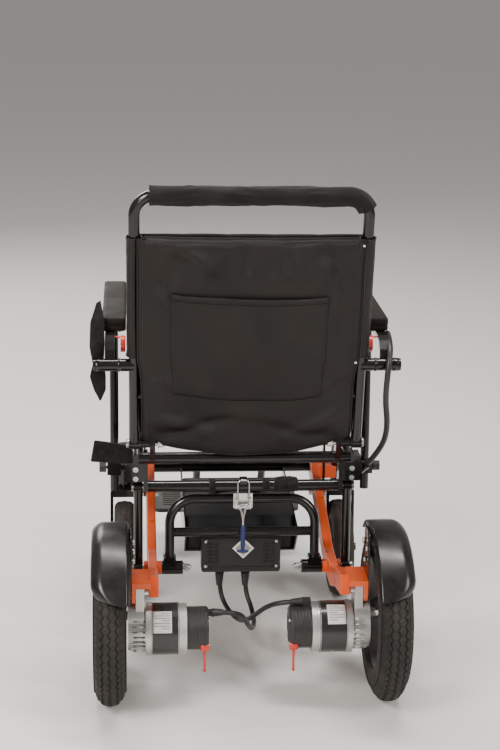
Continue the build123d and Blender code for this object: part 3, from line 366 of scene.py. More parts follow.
def make_finishes(c, s):
    """Every finish of the chair, by name."""
    return {
        "frame": finish("gloss_black_paint", c.frame, 0.22, spread=0.08,
                        tint=(0.0085, 0.0070, 0.0060), grain_scale=260, height=0.00025,
                        strength=0.16, coat=0.35, coat_rough=0.05,
                        dust=0.03, specular=0.35),
        "fender": finish("satin_black_paint", c.frame, 0.33, spread=0.08,
                         tint=(0.0110, 0.0085, 0.0070), grain_scale=320, height=0.0002,
                         strength=0.18, coat=0.18, coat_rough=0.22, dust=0.06, specular=0.4),
        "arm": finish("orange_paint", c.arm, 0.34, tint=(0.84, 0.125, 0.020), amount=0.7,
                      grain_scale=300, height=0.0003, strength=0.22, coat=0.25, coat_rough=0.18,
                      dust=0.05, specular=0.4),
        "canvas": finish("coated_canvas", c.canvas, 0.40, spread=0.10, tint=(0.016, 0.0120, 0.0098),
                         tint_scale=9.0, amount=0.7, grain="weave", pitch=s.weave, height=0.00022,
                         strength=0.5, specular=0.27),
        "sleeve": finish("ribbed_sleeve_cloth", c.sleeve, 0.80, tint=(0.012, 0.0100, 0.0092),
                         tint_scale=22.0, amount=0.8, grain="weave", pitch=0.0018, height=0.0005,
                         strength=0.8, sheen=0.10, specular=0.25),
        "seat": finish("seat_cover_cloth", c.seat, 0.78, tint=(0.021, 0.018, 0.016),
                       tint_scale=14.0, amount=0.7, grain="weave", pitch=0.0016,
                       height=0.0005, strength=0.7,
                       sheen=0.12, specular=0.25, dust=0.03),
        "pad": finish("moulded_foam", c.pad, 0.66, tint=(0.016, 0.0105, 0.0075),
                      tint_scale=11.0, amount=0.7, grain="pebble", grain_scale=900,
                      height=0.00028, strength=0.5,
                      specular=0.22),
        "rubber": finish("tyre_rubber", c.rubber, 0.72, tint=(0.036, 0.030, 0.025), tint_scale=18.0,
                         amount=0.75, grain_scale=420, height=0.0005, strength=0.45, specular=0.35,
                         dust=0.22),
        "casting": finish("cast_aluminium", c.casting, 0.40, metal=0.85, tint=(0.70, 0.69, 0.67),
                          tint_scale=26.0, grain_scale=520, height=0.0006, strength=0.5,
                          spread=0.12, dust=0.12),
        "motor": finish("motor_paint", c.motor, 0.30, tint=(0.022, 0.021, 0.020), grain_scale=350,
                        height=0.0002, strength=0.2, coat=0.4, dust=0.12),
        "plated": finish("zinc_plate", c.plated, 0.26, metal=1.0, tint=(0.52, 0.51, 0.48),
                         tint_scale=40.0, grain="brushed", grain_scale=900, height=0.0001,
                         strength=0.25, spread=0.10),
        "plastic": finish("moulded_plastic", c.plastic, 0.46, tint=(0.028, 0.026, 0.025),
                          grain="pebble", grain_scale=1500, height=0.00015, strength=0.4,
                          dust=0.14),
        "lever": finish("red_plastic", c.lever, 0.32, tint=(0.74, 0.040, 0.028), amount=0.5,
                        grain_scale=500, height=0.00015, strength=0.2, coat=0.3),
        "grip": finish("blue_plastic", c.grip, 0.42, tint=(0.030, 0.050, 0.17), grain_scale=500,
                       height=0.0002, strength=0.25),
        "label": finish("blank_label", c.label, 0.52, tint=(0.62, 0.60, 0.56), tint_scale=30.0,
                        grain_scale=500, height=0.00005, strength=0.2),
        "print": finish("grey_print", (0.30, 0.28, 0.27), 0.55, grain_scale=500, height=0.00004,
                        strength=0.2),
        "wheel": finish("rim_paint", (0.055, 0.055, 0.056), 0.38, metal=0.35,
                        tint=(0.09, 0.09, 0.09), grain_scale=350, height=0.0003, strength=0.25,
                        coat=0.3, dust=0.18),
        "cable": finish("cable_sheath", (0.012, 0.011, 0.011), 0.42, tint=(0.024, 0.021, 0.019),
                        tint_scale=30.0, grain_scale=500, height=0.0002, strength=0.3),
        "loop": finish("hook_and_loop", (0.0075, 0.0068, 0.0062), 0.92, tint=(0.020, 0.017, 0.015),
                       tint_scale=120.0, amount=0.9, grain_scale=1500, height=0.0012, strength=0.8,
                       sheen=0.12, specular=0.15),
        "thread": finish("dark_thread", (0.006, 0.005, 0.0045), 0.75, tint=(0.012, 0.010, 0.009),
                         tint_scale=60.0, grain_scale=2500, height=0.0001, strength=0.4, sheen=0.3),
        "button": finish("button_plastic", (0.16, 0.165, 0.17), 0.45, grain_scale=600,
                         height=0.0001, strength=0.2),
        "battery": finish("battery_case", (0.030, 0.031, 0.034), 0.5, grain="pebble",
                          grain_scale=1100, height=0.0002, strength=0.4, dust=0.15),
    }


FINISH = {}
CAD_FINISH = {
    "frame": ["rear_hoop", "front_frame", "seat_frame", "backrest_frame", "rear_links",
              "front_links", "caster_housings", "caster_fork", "arm_bar", "arm_post",
              "post_clamp", "rest_pin"],
    "arm": ["side_arms"],
    "plated": ["chassis_bolts", "seat_bolts", "latch_base", "latch_lever", "latch_bail"],
    "casting": ["gearboxes"],
    "motor": ["motor_cans"],
    "plastic": ["brake_caps", "controller_box", "clamp_knob", "stick_ring", "footplate"],
    "battery": ["battery_pack"],
    "lever": ["rest_lock"],
    "wheel": ["caster_hub"],
    "button": ["power_button", "horn_button"],
}


def finish_metal():
    """Gives every carried-over CAD node its finish."""
    for key, names in CAD_FINISH.items():
        for name in names:
            for full in (name, name + "_right", name + "_left"):
                node = frame["nodes"].get(full)
                if node is None:
                    continue
                if not node.material_slots:
                    node.data.materials.append(FINISH[key])
                for slot in node.material_slots:
                    slot.material = FINISH[key]


# ---- cables -------------------------------------------------------------
RIGHT_ROUTE = [(-0.040, 0.231, 0.1425), (-0.040, 0.231, 0.106), (-0.028, 0.205, 0.080),
               (-0.008, 0.152, 0.076), (0.006, 0.104, 0.099), (0.018, 0.062, 0.130),
               (0.036, 0.030, 0.160), (0.062, 0.008, 0.1775), (0.096, 0.008, 0.1775)]
LEFT_ROUTE = [(0.010, 0.231, 0.1425), (0.010, 0.231, 0.104), (0.022, 0.206, 0.078),
              (0.024, 0.156, 0.067), (0.014, 0.106, 0.079), (0.004, 0.066, 0.108),
              (-0.008, 0.034, 0.140), (-0.030, 0.012, 0.157), (-0.065, 0.012, 0.157)]
JOYSTICK_ROUTE = [(0.2625, 0.190, 0.631), (0.2600, 0.152, 0.631), (0.2560, 0.110, 0.617),
                  (0.250, 0.094, 0.582), (0.248, 0.098, 0.530), (0.258, 0.116, 0.474),
                  (0.253, 0.140, 0.425), (0.232, 0.174, 0.382)]


def lay_cable(name, route, radius, body):
    """A cable as a smooth curve on its route, in place of its CAD solid."""
    shape = bpy.data.curves.new(name, "CURVE")
    shape.dimensions = "3D"
    shape.bevel_depth = radius
    shape.bevel_resolution = 5
    shape.resolution_u = 16
    shape.use_fill_caps = True
    spline = shape.splines.new("NURBS")
    spline.points.add(len(route) - 1)
    for point, place in zip(spline.points, route):
        point.co = (*at(*place), 1.0)
    spline.order_u = 3
    spline.use_endpoint_u = True
    made = bpy.data.objects.new(name + "_sheath", shape)
    bpy.context.scene.collection.objects.link(made)
    made.data.materials.append(FINISH["cable"])
    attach(made, body)
    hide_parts(name)
    return made


def relief(name, start, end, radius, body):
    """A tapered, ringed strain relief round a cable where it leaves its housing."""
    line = [start.lerp(end, i / 28) for i in range(29)]
    skin = hose(line, lambda f: radius * (1.62 - 0.50 * f) * (1.0 if int(f * 28) % 4 < 2 else 0.86),
                20)
    made = piece(name, *skin, FINISH["plastic"], body, material_slot="case_plastic")
    return made


def make_cables():
    """The three cables with their strain reliefs."""
    lay_cable("motor_cable_right", RIGHT_ROUTE, 0.0046, "chassis")
    lay_cable("motor_cable_left", LEFT_ROUTE, 0.0046, "chassis")
    lay_cable("joystick_cable", JOYSTICK_ROUTE, 0.0054, "seat")
    for name, route in (("exit_relief_right", RIGHT_ROUTE), ("exit_relief_left", LEFT_ROUTE)):
        start = at(*route[0])
        relief(name, start + Vector((0, 0, 0.001)), start - Vector((0, 0, 0.026)), 0.0056,
               "chassis")
    for name, route in (("cap_relief_right", RIGHT_ROUTE), ("cap_relief_left", LEFT_ROUTE)):
        end, before = at(*route[-1]), at(*route[-2])
        away = (before - end).normalized()
        relief(name, end - away * 0.001, end + away * 0.019, 0.0054, "chassis")


# ---- backrest -----------------------------------------------------------
CREASES = [  # start and end on the panel (across, up), width, height
    ((-0.150, 0.392), (-0.060, 0.345), 0.014, 0.0030),
    ((-0.020, 0.396), (0.004, 0.338), 0.012, -0.0026),
    ((0.050, 0.394), (0.092, 0.330), 0.015, 0.0028),
    ((0.120, 0.392), (0.165, 0.335), 0.013, -0.0022),
    ((-0.165, 0.330), (-0.110, 0.250), 0.016, -0.0024),
    ((0.172, 0.310), (0.120, 0.225), 0.018, 0.0024),
    ((-0.172, 0.060), (-0.070, 0.030), 0.013, 0.0040),
    ((-0.160, 0.020), (-0.030, 0.055), 0.012, -0.0034),
    ((0.168, 0.070), (0.075, 0.020), 0.014, 0.0042),
    ((0.160, 0.016), (0.045, 0.040), 0.012, -0.0030),
    ((-0.040, 0.070), (0.060, 0.062), 0.016, 0.0022),
    ((-0.120, 0.375), (-0.150, 0.315), 0.018, -0.0026),
    ((-0.050, 0.380), (-0.090, 0.322), 0.016, 0.0026),
    ((0.070, 0.385), (0.040, 0.322), 0.018, -0.0024),
    ((0.150, 0.365), (0.110, 0.316), 0.017, 0.0024),
    ((0.010, 0.330), (0.080, 0.312), 0.020, 0.0018),
    ((-0.175, 0.150), (-0.120, 0.120), 0.012, 0.0022),
    ((0.176, 0.160), (0.130, 0.115), 0.012, 0.0024),
]


def crease_depth(x, along):
    """How far the canvas stands out at a place, from its folds and its slack."""
    depth = 0.0
    for (x0, a0), (x1, a1), width, height in CREASES:
        dx, da = x1 - x0, a1 - a0
        f = max(0.0, min(1.0, ((x - x0) * dx + (along - a0) * da) / (dx * dx + da * da)))
        gap = math.hypot(x - x0 - f * dx, along - a0 - f * da)
        depth += height * math.exp(-(gap / width) ** 2) * math.sin(math.pi * (0.15 + 0.7 * f))
    depth += 0.0034 * noise.noise(Vector((x * 12, along * 8, 1.7)))
    return 2.4 * depth + 0.0008 * noise.noise(Vector((x * 42, along * 36, 5.1)))


def half_width(along):
    """Half the rear panel's width: full beside the sleeves, narrower below the armrests."""
    if along > 0.172:
        return 0.1985
    return 0.1905 + 0.008 * max(0.0, along / 0.172) ** 6


def rear_place(sag, x_share, up_share, proud=0.0):
    """A point of the rear panel, from -1 to 1 across and 0 to 1 up."""
    bottom = 0.011 - sag * (1 - abs(x_share) ** 1.9)
    top = 0.399 - 0.003 * (1 - x_share ** 2)
    along = bottom + (top - bottom) * up_share
    x = x_share * half_width(along)
    belly = 0.0075 * (1 - x_share ** 2) * math.sin(math.pi * (0.12 + 0.76 * up_share))
    tuck = 0.006 * max(0.0, 1 - up_share / 0.05) ** 2
    clear = max(0.0, min(1.0, (0.190 - abs(x)) / 0.006))
    fold = clear * max(0.0, (up_share - 0.975) / 0.025) ** 2.2
    out = (0.0128 + belly - tuck) * (1 - 0.97 * fold) + crease_depth(x, along) * (1 - fold)
    return on_post(x, along, out + proud)


def make_canvas(sizes):
    """The backrest's canvas: rear panel with its pocket, front panel and post sleeves."""
    sag = sizes.sag
    columns, rows = 110, 116
    out = Vector((0, -math.cos(RECLINE), -math.sin(RECLINE)))
    points, faces = grid(columns, rows,
                         lambda i, j: rear_place(sag, -1 + 2 * i / columns, j / rows))
    rear = piece("canvas_rear", points, faces, FINISH["canvas"], "backrest",
                 material_slot="black_canvas")
    modify(rear, "SOLIDIFY", thickness=0.0012, offset=0.0)

    def front_place(i, j):
        share, up = -1 + 2 * i / columns, j / rows
        along = 0.016 + 0.384 * up
        x = share * 0.2
        channel = 0.0022 * abs(math.sin(math.pi * (share + 1) * 2.5)) ** 0.6
        dish = 0.007 * (1 - share ** 2) * math.sin(math.pi * up) ** 0.7
        wave = 0.0012 * noise.noise(Vector((x * 16, along * 12, 9.0)))
        return on_post(x, along, -0.0122 - channel + dish + wave)
    points, faces = grid(columns, rows, front_place)
    front = piece("canvas_front", points, faces, FINISH["canvas"], "backrest",
                  material_slot="black_canvas")
    modify(front, "SOLIDIFY", thickness=0.0012, offset=0.0)

    wraps = []
    for side in (-1, 1):
        def wrap_place(i, j, side=side):
            turn = math.radians(-100 + 300 * i / 30)
            along = 0.176 + 0.2235 * j / 60
            swell = 0.0132 + 0.0006 * noise.noise(Vector((side * 3, along * 55, i * 0.4)))
            flare = 0.0012 * math.exp(-((along - 0.176) / 0.006) ** 2)
            flare += 0.0010 * math.exp(-((along - 0.3995) / 0.004) ** 2)
            r = swell + flare
            return on_post(side * (POST_X + r * math.cos(turn)), along, -r * math.sin(turn))
        wraps.append(grid(30, 60, wrap_place))
    points, faces = join(wraps)
    sleeves = piece("canvas_post_sleeves", points, faces, FINISH["canvas"], "backrest",
                    material_slot="black_canvas")
    modify(sleeves, "SOLIDIFY", thickness=0.0012, offset=0.0)

    def pocket_shares(u, v):
        """Places on the rear panel across and up the pocket, with rounded lower corners."""
        x = -0.1395 + 0.2775 * u
        along = 0.106 + 0.1910 * v + 0.005 * (1 - u)
        along -= 0.001 * math.sin(math.pi * u) * (1 - v)
        return x / 0.1985, along / 0.40
    n, m = 60, 44

    def pocket_place(i, j):
        u, v = i / n, j / m
        sx, sy = pocket_shares(u, v)
        edge = min(u, 1 - u, v) * 9
        slack = 0.0016 * min(1.0, edge) + 0.0028 * v ** 3 * math.sin(math.pi * u)
        slack += 0.0007 * noise.noise(Vector((u * 5, v * 4, 2.0)))
        return rear_place(sag, sx, sy, 0.0011 + slack)
    points, faces = grid(n, m, pocket_place)
    pocket = piece("canvas_pocket", points, faces, FINISH["canvas"], "backrest",
                   material_slot="black_canvas")
    modify(pocket, "SOLIDIFY", thickness=0.0011, offset=0.0)
    hem_points, hem_faces = grid(n, 5, lambda i, j: rear_place(
        sag, *pocket_shares(i / n, 0.945 + 0.055 * j / 5),
        0.0036 + 0.0028 * math.sin(math.pi * i / n) + 0.0012 * math.sin(math.pi * j / 5)))
    hem = piece("pocket_hem", hem_points, hem_faces, FINISH["canvas"], "backrest",
                material_slot="black_canvas")
    modify(hem, "SOLIDIFY", thickness=0.0016, offset=0.0)

    def along_panel(shares, proud):
        return [rear_place(sag, x, v, proud) for x, v in shares]
    rows_of_thread = []
    for side in (-1, 1):
        rows_of_thread.append(along_panel([(side * 0.955, 0.012 + 0.975 * k / 60)
                                           for k in range(61)], 0.0008))
        inner = [(side * 0.945, 0.900), (side * 0.80, 0.900)]
        inner += [(side * (0.80 + 0.02 * k / 60), 0.900 - 0.70 * k / 60) for k in range(61)]
        rows_of_thread.append(along_panel(inner + [(side * 0.945, 0.200)], 0.0008))
    rows_of_thread.append(along_panel([(-0.95 + 1.9 * k / 60, 0.955) for k in range(61)], 0.0008))
    rows_of_thread.append(along_panel([(-0.93 + 1.86 * k / 60, 0.030) for k in range(61)], 0.0008))
    rim = [(0.012, 1 - k / 30) for k in range(30)] + [(0.012 + 0.976 * k / 40, 0.014)
                                                     for k in range(41)]
    rim += [(0.988, 0.014 + k / 30 * 0.986) for k in range(1, 31)]
    rows_of_thread.append([rear_place(sag, *pocket_shares(u, v), 0.0026) for u, v in rim])
    rows_of_thread.append([rear_place(sag, *pocket_shares(k / 60, 0.955),
                                      0.0056 + 0.0028 * math.sin(math.pi * k / 60))
                           for k in range(61)])
    threads = piece("canvas_stitches", *join([sewn(line, sizes.stitch, out)
                                             for line in rows_of_thread]),
                    FINISH["thread"], "backrest", material_slot="black_canvas")
    piping = []
    for side in (-1, 1):
        line = [rear_place(sag, side * 0.999, k / 70, 0.0004) for k in range(71)]
        piping.append(hose(line, 0.0017, 8))
    line = [rear_place(sag, -1 + 2 * k / 80, 0.0, 0.0) for k in range(81)]
    piping.append(hose(line, 0.0016, 8))
    line = [rear_place(sag, -1 + 2 * k / 80, 1.0, 0.0) for k in range(81)]
    piping.append(hose(line, 0.0016, 8))
    edging = piece("canvas_edging", *join(piping), FINISH["canvas"], "backrest",
                   material_slot="black_canvas")
    eyelets = []
    for x, along in ((0.1960, 0.388), (0.1930, 0.166)):
        spot = on_post(x, along, 0.0130)
        rings = []
        for step, r in ((-0.001, 0.0027), (0.0010, 0.0027), (0.0019, 0.0021), (0.0022, 0.0008)):
            rings.append(ring_about(spot + out * step, Vector((1, 0, 0)),
                                    Vector((0, -math.sin(RECLINE), math.cos(RECLINE))), r, 20))
        eyelets.append(loft(rings))
    piece("canvas_screws", *join(eyelets), FINISH["plated"], "backrest",
          material_slot="plated_steel")
    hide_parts("back_canvas")


def make_push_bar_sleeve():
    """The soft sleeve on the push bar, gathered, with loose ends, part way round one bend."""
    low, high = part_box("handle_sleeve")
    middle = (low + high) / 2
    line = [Vector((low.x - 0.013 + (high.x - low.x + 0.013) * i / 150, middle.y, middle.z))
            for i in range(151)]
    bend, upright = 0.038, Vector((0, math.sin(RECLINE), -math.cos(RECLINE)))
    corner = line[-1]
    for i in range(1, 22):
        turn = math.radians(66) * i / 21
        line.append(corner + Vector((bend * math.sin(turn), 0, 0))
                    + upright * bend * (1 - math.cos(turn)))
    rings = []
    steps = 40
    for i, p in enumerate(line):
        along = (line[min(i + 1, len(line) - 1)] - line[max(i - 1, 0)]).normalized()
        side = along.cross(Vector((0, 1, 0))).normalized()
        lift = side.cross(along)
        ring = []
        for k in range(steps):
            turn = 2 * math.pi * k / steps
            f = i / (len(line) - 1)
            pucker = 0.0016 * noise.noise(Vector((f * 7, math.cos(turn) * 1.9,
                                                  math.sin(turn) * 1.9)))
            pucker += 0.0007 * noise.noise(Vector((f * 26 + turn, math.cos(turn) * 5,
                                                   math.sin(turn) * 5)))
            pucker += 0.0007 * math.sin(7 * turn + 2.6 * math.sin(f * 14)) * math.sin(f * 11) ** 2
            seam = 0.0011 * math.exp(-((turn - 4.2) / 0.10) ** 2)
            end = max(math.exp(-f / 0.012), math.exp(-(1 - f) / 0.014))
            frill = end * 0.0007 * (1 + 0.5 * math.sin(3 * turn + 1.2))
            out = side * math.cos(turn) + lift * math.sin(turn)
            droop = 0.0014 * max(0.0, -out.z) * (1 + 0.6 * math.sin(f * 9))
            ring.append(p + out * (0.0164 + pucker + seam + frill + droop))
        rings.append(ring)
    made = piece("push_bar_sleeve", *loft(rings, capped=False), FINISH["sleeve"], "backrest",
                 material_slot="black_canvas")
    modify(made, "SOLIDIFY", thickness=0.0016, offset=-1.0)
    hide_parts("handle_sleeve")


# ---- seat ---------------------------------------------------------------
def make_seat(sizes):
    """The padded seat: swollen by a cloth simulation, then piped and stitched."""
    low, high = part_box("seat_cushion")
    inset = 0.004
    points, faces = block(low + Vector((inset, inset, 0.0004)),
                          high - Vector((inset, inset, inset)), 0.011)
    cushion = piece("seat_pad", points, faces, FINISH["seat"], "seat",
                    material_slot="black_canvas")
    remesh = modify(cushion, "REMESH", mode="VOXEL", voxel_size=0.0062)
    bpy.context.view_layer.update()
    graph = bpy.context.evaluated_depsgraph_get()
    shape = bpy.data.meshes.new_from_object(cushion.evaluated_get(graph))
    cushion.modifiers.remove(remesh)
    cushion.data = shape
    start = [v.co.copy() for v in shape.vertices]
    cloth = cushion.modifiers.new("Cloth", "CLOTH")
    cloth.settings.quality = 5
    cloth.settings.use_pressure = True
    cloth.settings.uniform_pressure_force = 4.0
    cloth.settings.effector_weights.gravity = 0.0
    scene = bpy.context.scene
    for step in range(1, 21):
        scene.frame_set(step)
    graph = bpy.context.evaluated_depsgraph_get()
    swollen = [v.co.copy() for v in cushion.evaluated_get(graph).data.vertices]
    cushion.modifiers.remove(cloth)
    scene.frame_set(1)
    for v, p, q in zip(shape.vertices, start, swollen):
        move = q - p
        if move.length > sizes.puff:
            move *= sizes.puff / move.length
        v.co = p + move
    half_x, half_y = (high.x - low.x) / 2, (high.y - low.y) / 2
    middle = (low + high) / 2
    for v in shape.vertices:
        p = v.co
        u, w = (p.x - middle.x) / half_x, (p.y - middle.y) / half_y
        top = max(0.0, (p.z - middle.z) / ((high.z - low.z) / 2))
        dimple = 0.0035 * top * (1 - 0.8 * u * u) * (1 - 0.8 * w * w)
        for line in (-0.34, 0.34):
            dimple -= 0.0046 * top * math.exp(-((w - line) / 0.022) ** 2) * (1 - u ** 8)
        for line in (-0.5, 0.5):
            dimple -= 0.0030 * top * math.exp(-((u - line) / 0.020) ** 2) * (1 - w ** 8)
        p.z += dimple
        p.z = max(p.z, low.z + 0.0002)
        p.x = max(low.x - 0.004, min(high.x + 0.004, p.x))
        p.y = max(low.y - 0.004, min(high.y + 0.006, p.y))
    for face in shape.polygons:
        face.use_smooth = True
    modify(cushion, "SUBSURF", levels=1, render_levels=1)
    cords = []
    for z, grow in ((low.z + 0.0285, 0.0006), (low.z + 0.0032, -0.0010)):
        line = []
        corner = 0.026
        r = corner + grow
        for cx, cy, first in ((1, 1, 0), (-1, 1, 90), (-1, -1, 180), (1, -1, 270)):
            for k in range(10):
                turn = math.radians(first + 10 * k)
                line.append(Vector((middle.x + cx * (half_x - corner) + r * math.cos(turn),
                                    middle.y + cy * (half_y - corner) + r * math.sin(turn), z)))
        line.append(line[0].copy())
        line.append(line[1].copy())
        cords.append(hose(line, 0.0022, 8))
    piping = piece("seat_piping", *join(cords), FINISH["canvas"], "seat",
                   material_slot="black_canvas")
    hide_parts("seat_cushion")


def flat_strip(outline, thick, waves, name, body, finish_key, across=Vector((0, 1, 0))):
    """A thin piece of cloth cut to an outline, gently waved, as rows between two edges."""
    rows = []
    for (ax, ay, az), (bx, by, bz) in outline:
        row = []
        for k in range(13):
            f = k / 12
            p = at(ax + (bx - ax) * f, ay + (by - ay) * f, az + (bz - az) * f)
            row.append(p + across * waves * noise.noise(Vector((p.x * 30, f * 2, p.z * 24))))
        rows.append(row)
    points = [p for row in rows for p in row]
    faces = []
    for j in range(len(rows) - 1):
        for i in range(12):
            a = j * 13 + i
            faces.append((a, a + 1, a + 14, a + 13))
    made = piece(name, points, faces, FINISH[finish_key], body, material_slot="black_canvas")
    area = sum(f.area for f in made.data.polygons)
    modify(made, "SUBSURF", levels=2, render_levels=2)
    modify(made, "SOLIDIFY", thickness=thick, offset=0.0)
    return made, area


def spaced(stations, count):
    """Rows between stations, as pairs of edge points."""
    rows = []
    for (a0, b0), (a1, b1) in zip(stations, stations[1:]):
        for k in range(count):
            f = k / count
            rows.append((tuple(p + (q - p) * f for p, q in zip(a0, a1)),
                         tuple(p + (q - p) * f for p, q in zip(b0, b1))))
    rows.append(stations[-1])
    return rows


def make_belt_and_strap():
    """The lap belt beside the left armrest and its anchor strap beside the seat."""
    low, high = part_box("lap_belt")
    x = (low.x + high.x) / 2
    y = REST_Y + 0.016
    x += 0.003
    stations = [((x - 0.003, y + 0.052, 0.688), (x + 0.003, y + 0.062, 0.690)),
                ((x - 0.014, y + 0.022, 0.660), (x + 0.010, y + 0.034, 0.664)),
                ((x - 0.015, y - 0.006, 0.622), (x + 0.011, y + 0.010, 0.624)),
                ((x - 0.009, y - 0.010, 0.590), (x + 0.009, y + 0.004, 0.590)),
                ((x - 0.015, y - 0.008, 0.566), (x + 0.013, y + 0.006, 0.566)),
                ((x - 0.008, y - 0.004, 0.540), (x + 0.013, y + 0.006, 0.538)),
                ((x + 0.002, y, 0.519), (x + 0.004, y + 0.002, 0.519))]
    belt, area = flat_strip(spaced(stations, 6), 0.0026, 0.0022, "lap_belt_webbing",
                            "armrest_left", "loop")
    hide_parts("lap_belt")
    low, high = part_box("seat_strap")
    y = low.y - AXLE_Y + 0.0015
    top, base = high.z + 0.008, low.z - 0.001
    stations = [((low.x + 0.003, y - 0.003, top), (low.x - 0.004, y - 0.003, base + 0.003)),
                ((low.x + 0.026, y, top - 0.004), (low.x + 0.022, y, base)),
                ((high.x - 0.024, y, top - 0.009), (high.x - 0.022, y, base - 0.002)),
                ((high.x - 0.001, y, top - 0.013), (high.x - 0.001, y, base - 0.002))]
    strap, area = flat_strip(spaced(stations, 5), 0.0030, 0.0014, "anchor_strap", "seat", "loop")
    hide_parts("seat_strap")


def make_wraps():
    """Hook-and-loop bands and a fuzzy wrap on the seat's lower cross tube."""
    for name, x0, x1, fat in (("band_left", -0.064, -0.052, 0.0030),
                              ("band_right", 0.036, 0.050, 0.0030),
                              ("tube_wrap", 0.058, 0.104, 0.0062)):
        rings = []
        steps = 36
        for k in range(25):
            f = k / 24
            ring = []
            for i in range(steps):
                turn = 2 * math.pi * i / steps
                rough = 0.0009 * noise.noise(
                    Vector((f * 7, math.cos(turn) * 3, math.sin(turn) * 3)))
                end = math.sin(math.pi * f) ** 0.22
                r = 0.0113 + (fat * (0.55 + 0.45 * math.sin(turn + 0.6)) + rough) * end
                ring.append(at(x0 + (x1 - x0) * f, 0.190 + r * math.cos(turn),
                               0.335 + r * math.sin(turn)))
            rings.append(ring)
        made = piece(name, *loft(rings), FINISH["loop"], "seat", material_slot="black_canvas")


# ---- armrests -----------------------------------------------------------
def make_arm_pads():
    """Moulded pads with a crowned top, a parting line and soft corners."""
    for side_name, side in SIDES:
        low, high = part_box("arm_pad_" + side_name)
        middle = (low + high) / 2
        half = (high - low) / 2
        corner = 0.0055
        rings = []
        levels = [(0.0, 0.0022), (0.06, 0.0004), (0.28, 0.0), (0.40, 0.0009), (0.46, 0.0),
                  (0.70, 0.0), (0.88, 0.0003), (0.955, 0.0013), (0.985, 0.0028), (1.0, 0.0060)]
        for share, inset in levels:
            ring = []
            for cx, cy, first in ((1, 1, 0), (-1, 1, 90), (-1, -1, 180), (1, -1, 270)):
                for k in range(8):
                    turn = math.radians(first + 90 * k / 7)
                    r = max(corner - inset * 0.4, 0.002)
                    px = middle.x + cx * (half.x - corner - inset * 0.6) + r * math.cos(turn)
                    py = middle.y + cy * (half.y - corner - inset * 0.6) + r * math.sin(turn)
                    along = (py - middle.y) / half.y
                    crown = 0.0012 * share * (1 - along ** 2)
                    ring.append(Vector((px, py, low.z + share * (high.z - low.z) + crown)))
            rings.append(ring)
        pad = piece("arm_cushion_" + side_name, *loft(rings), FINISH["pad"], "armrest_" + side_name,
                    material_slot="pad_black")
        modify(pad, "BEVEL", width=0.0012, segments=2, limit_method="ANGLE",
               angle_limit=math.radians(35))
        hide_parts("arm_pad_" + side_name)


def make_pivot_caps():
    """Clamp rings and end plugs on the armrest pivots and screws in the arches."""
    for side_name, side in SIDES:
        parts = []
        for x0, x1, r in ((0.2295, 0.2335, 0.0125), (0.262, 0.2726, 0.0121)):
            outline = [(0.0118, x0), (r, x0 + 0.0006), (r, x1 - 0.0006), (0.0118, x1)]
            outline = [(q, side * x) for q, x in outline]
            parts.append(turned(outline, at(0, REST_Y, REST_Z), 48))
        piece("pivot_rings_" + side_name, *join(parts), FINISH["frame"], "armrest_" + side_name,
              material_slot="frame_black")
        outline = [(0.0001, 0.2784), (0.0052, 0.2782), (0.0086, 0.2774), (0.0094, 0.2768),
                   (0.0094, 0.2763), (0.0001, 0.2763)]
        outline = [(q, side * x) for q, x in outline]
        piece("pivot_plug_" + side_name, *turned(outline, at(0, REST_Y, REST_Z), 40),
              FINISH["plastic"], "rest_pin_" + side_name, material_slot="case_plastic")


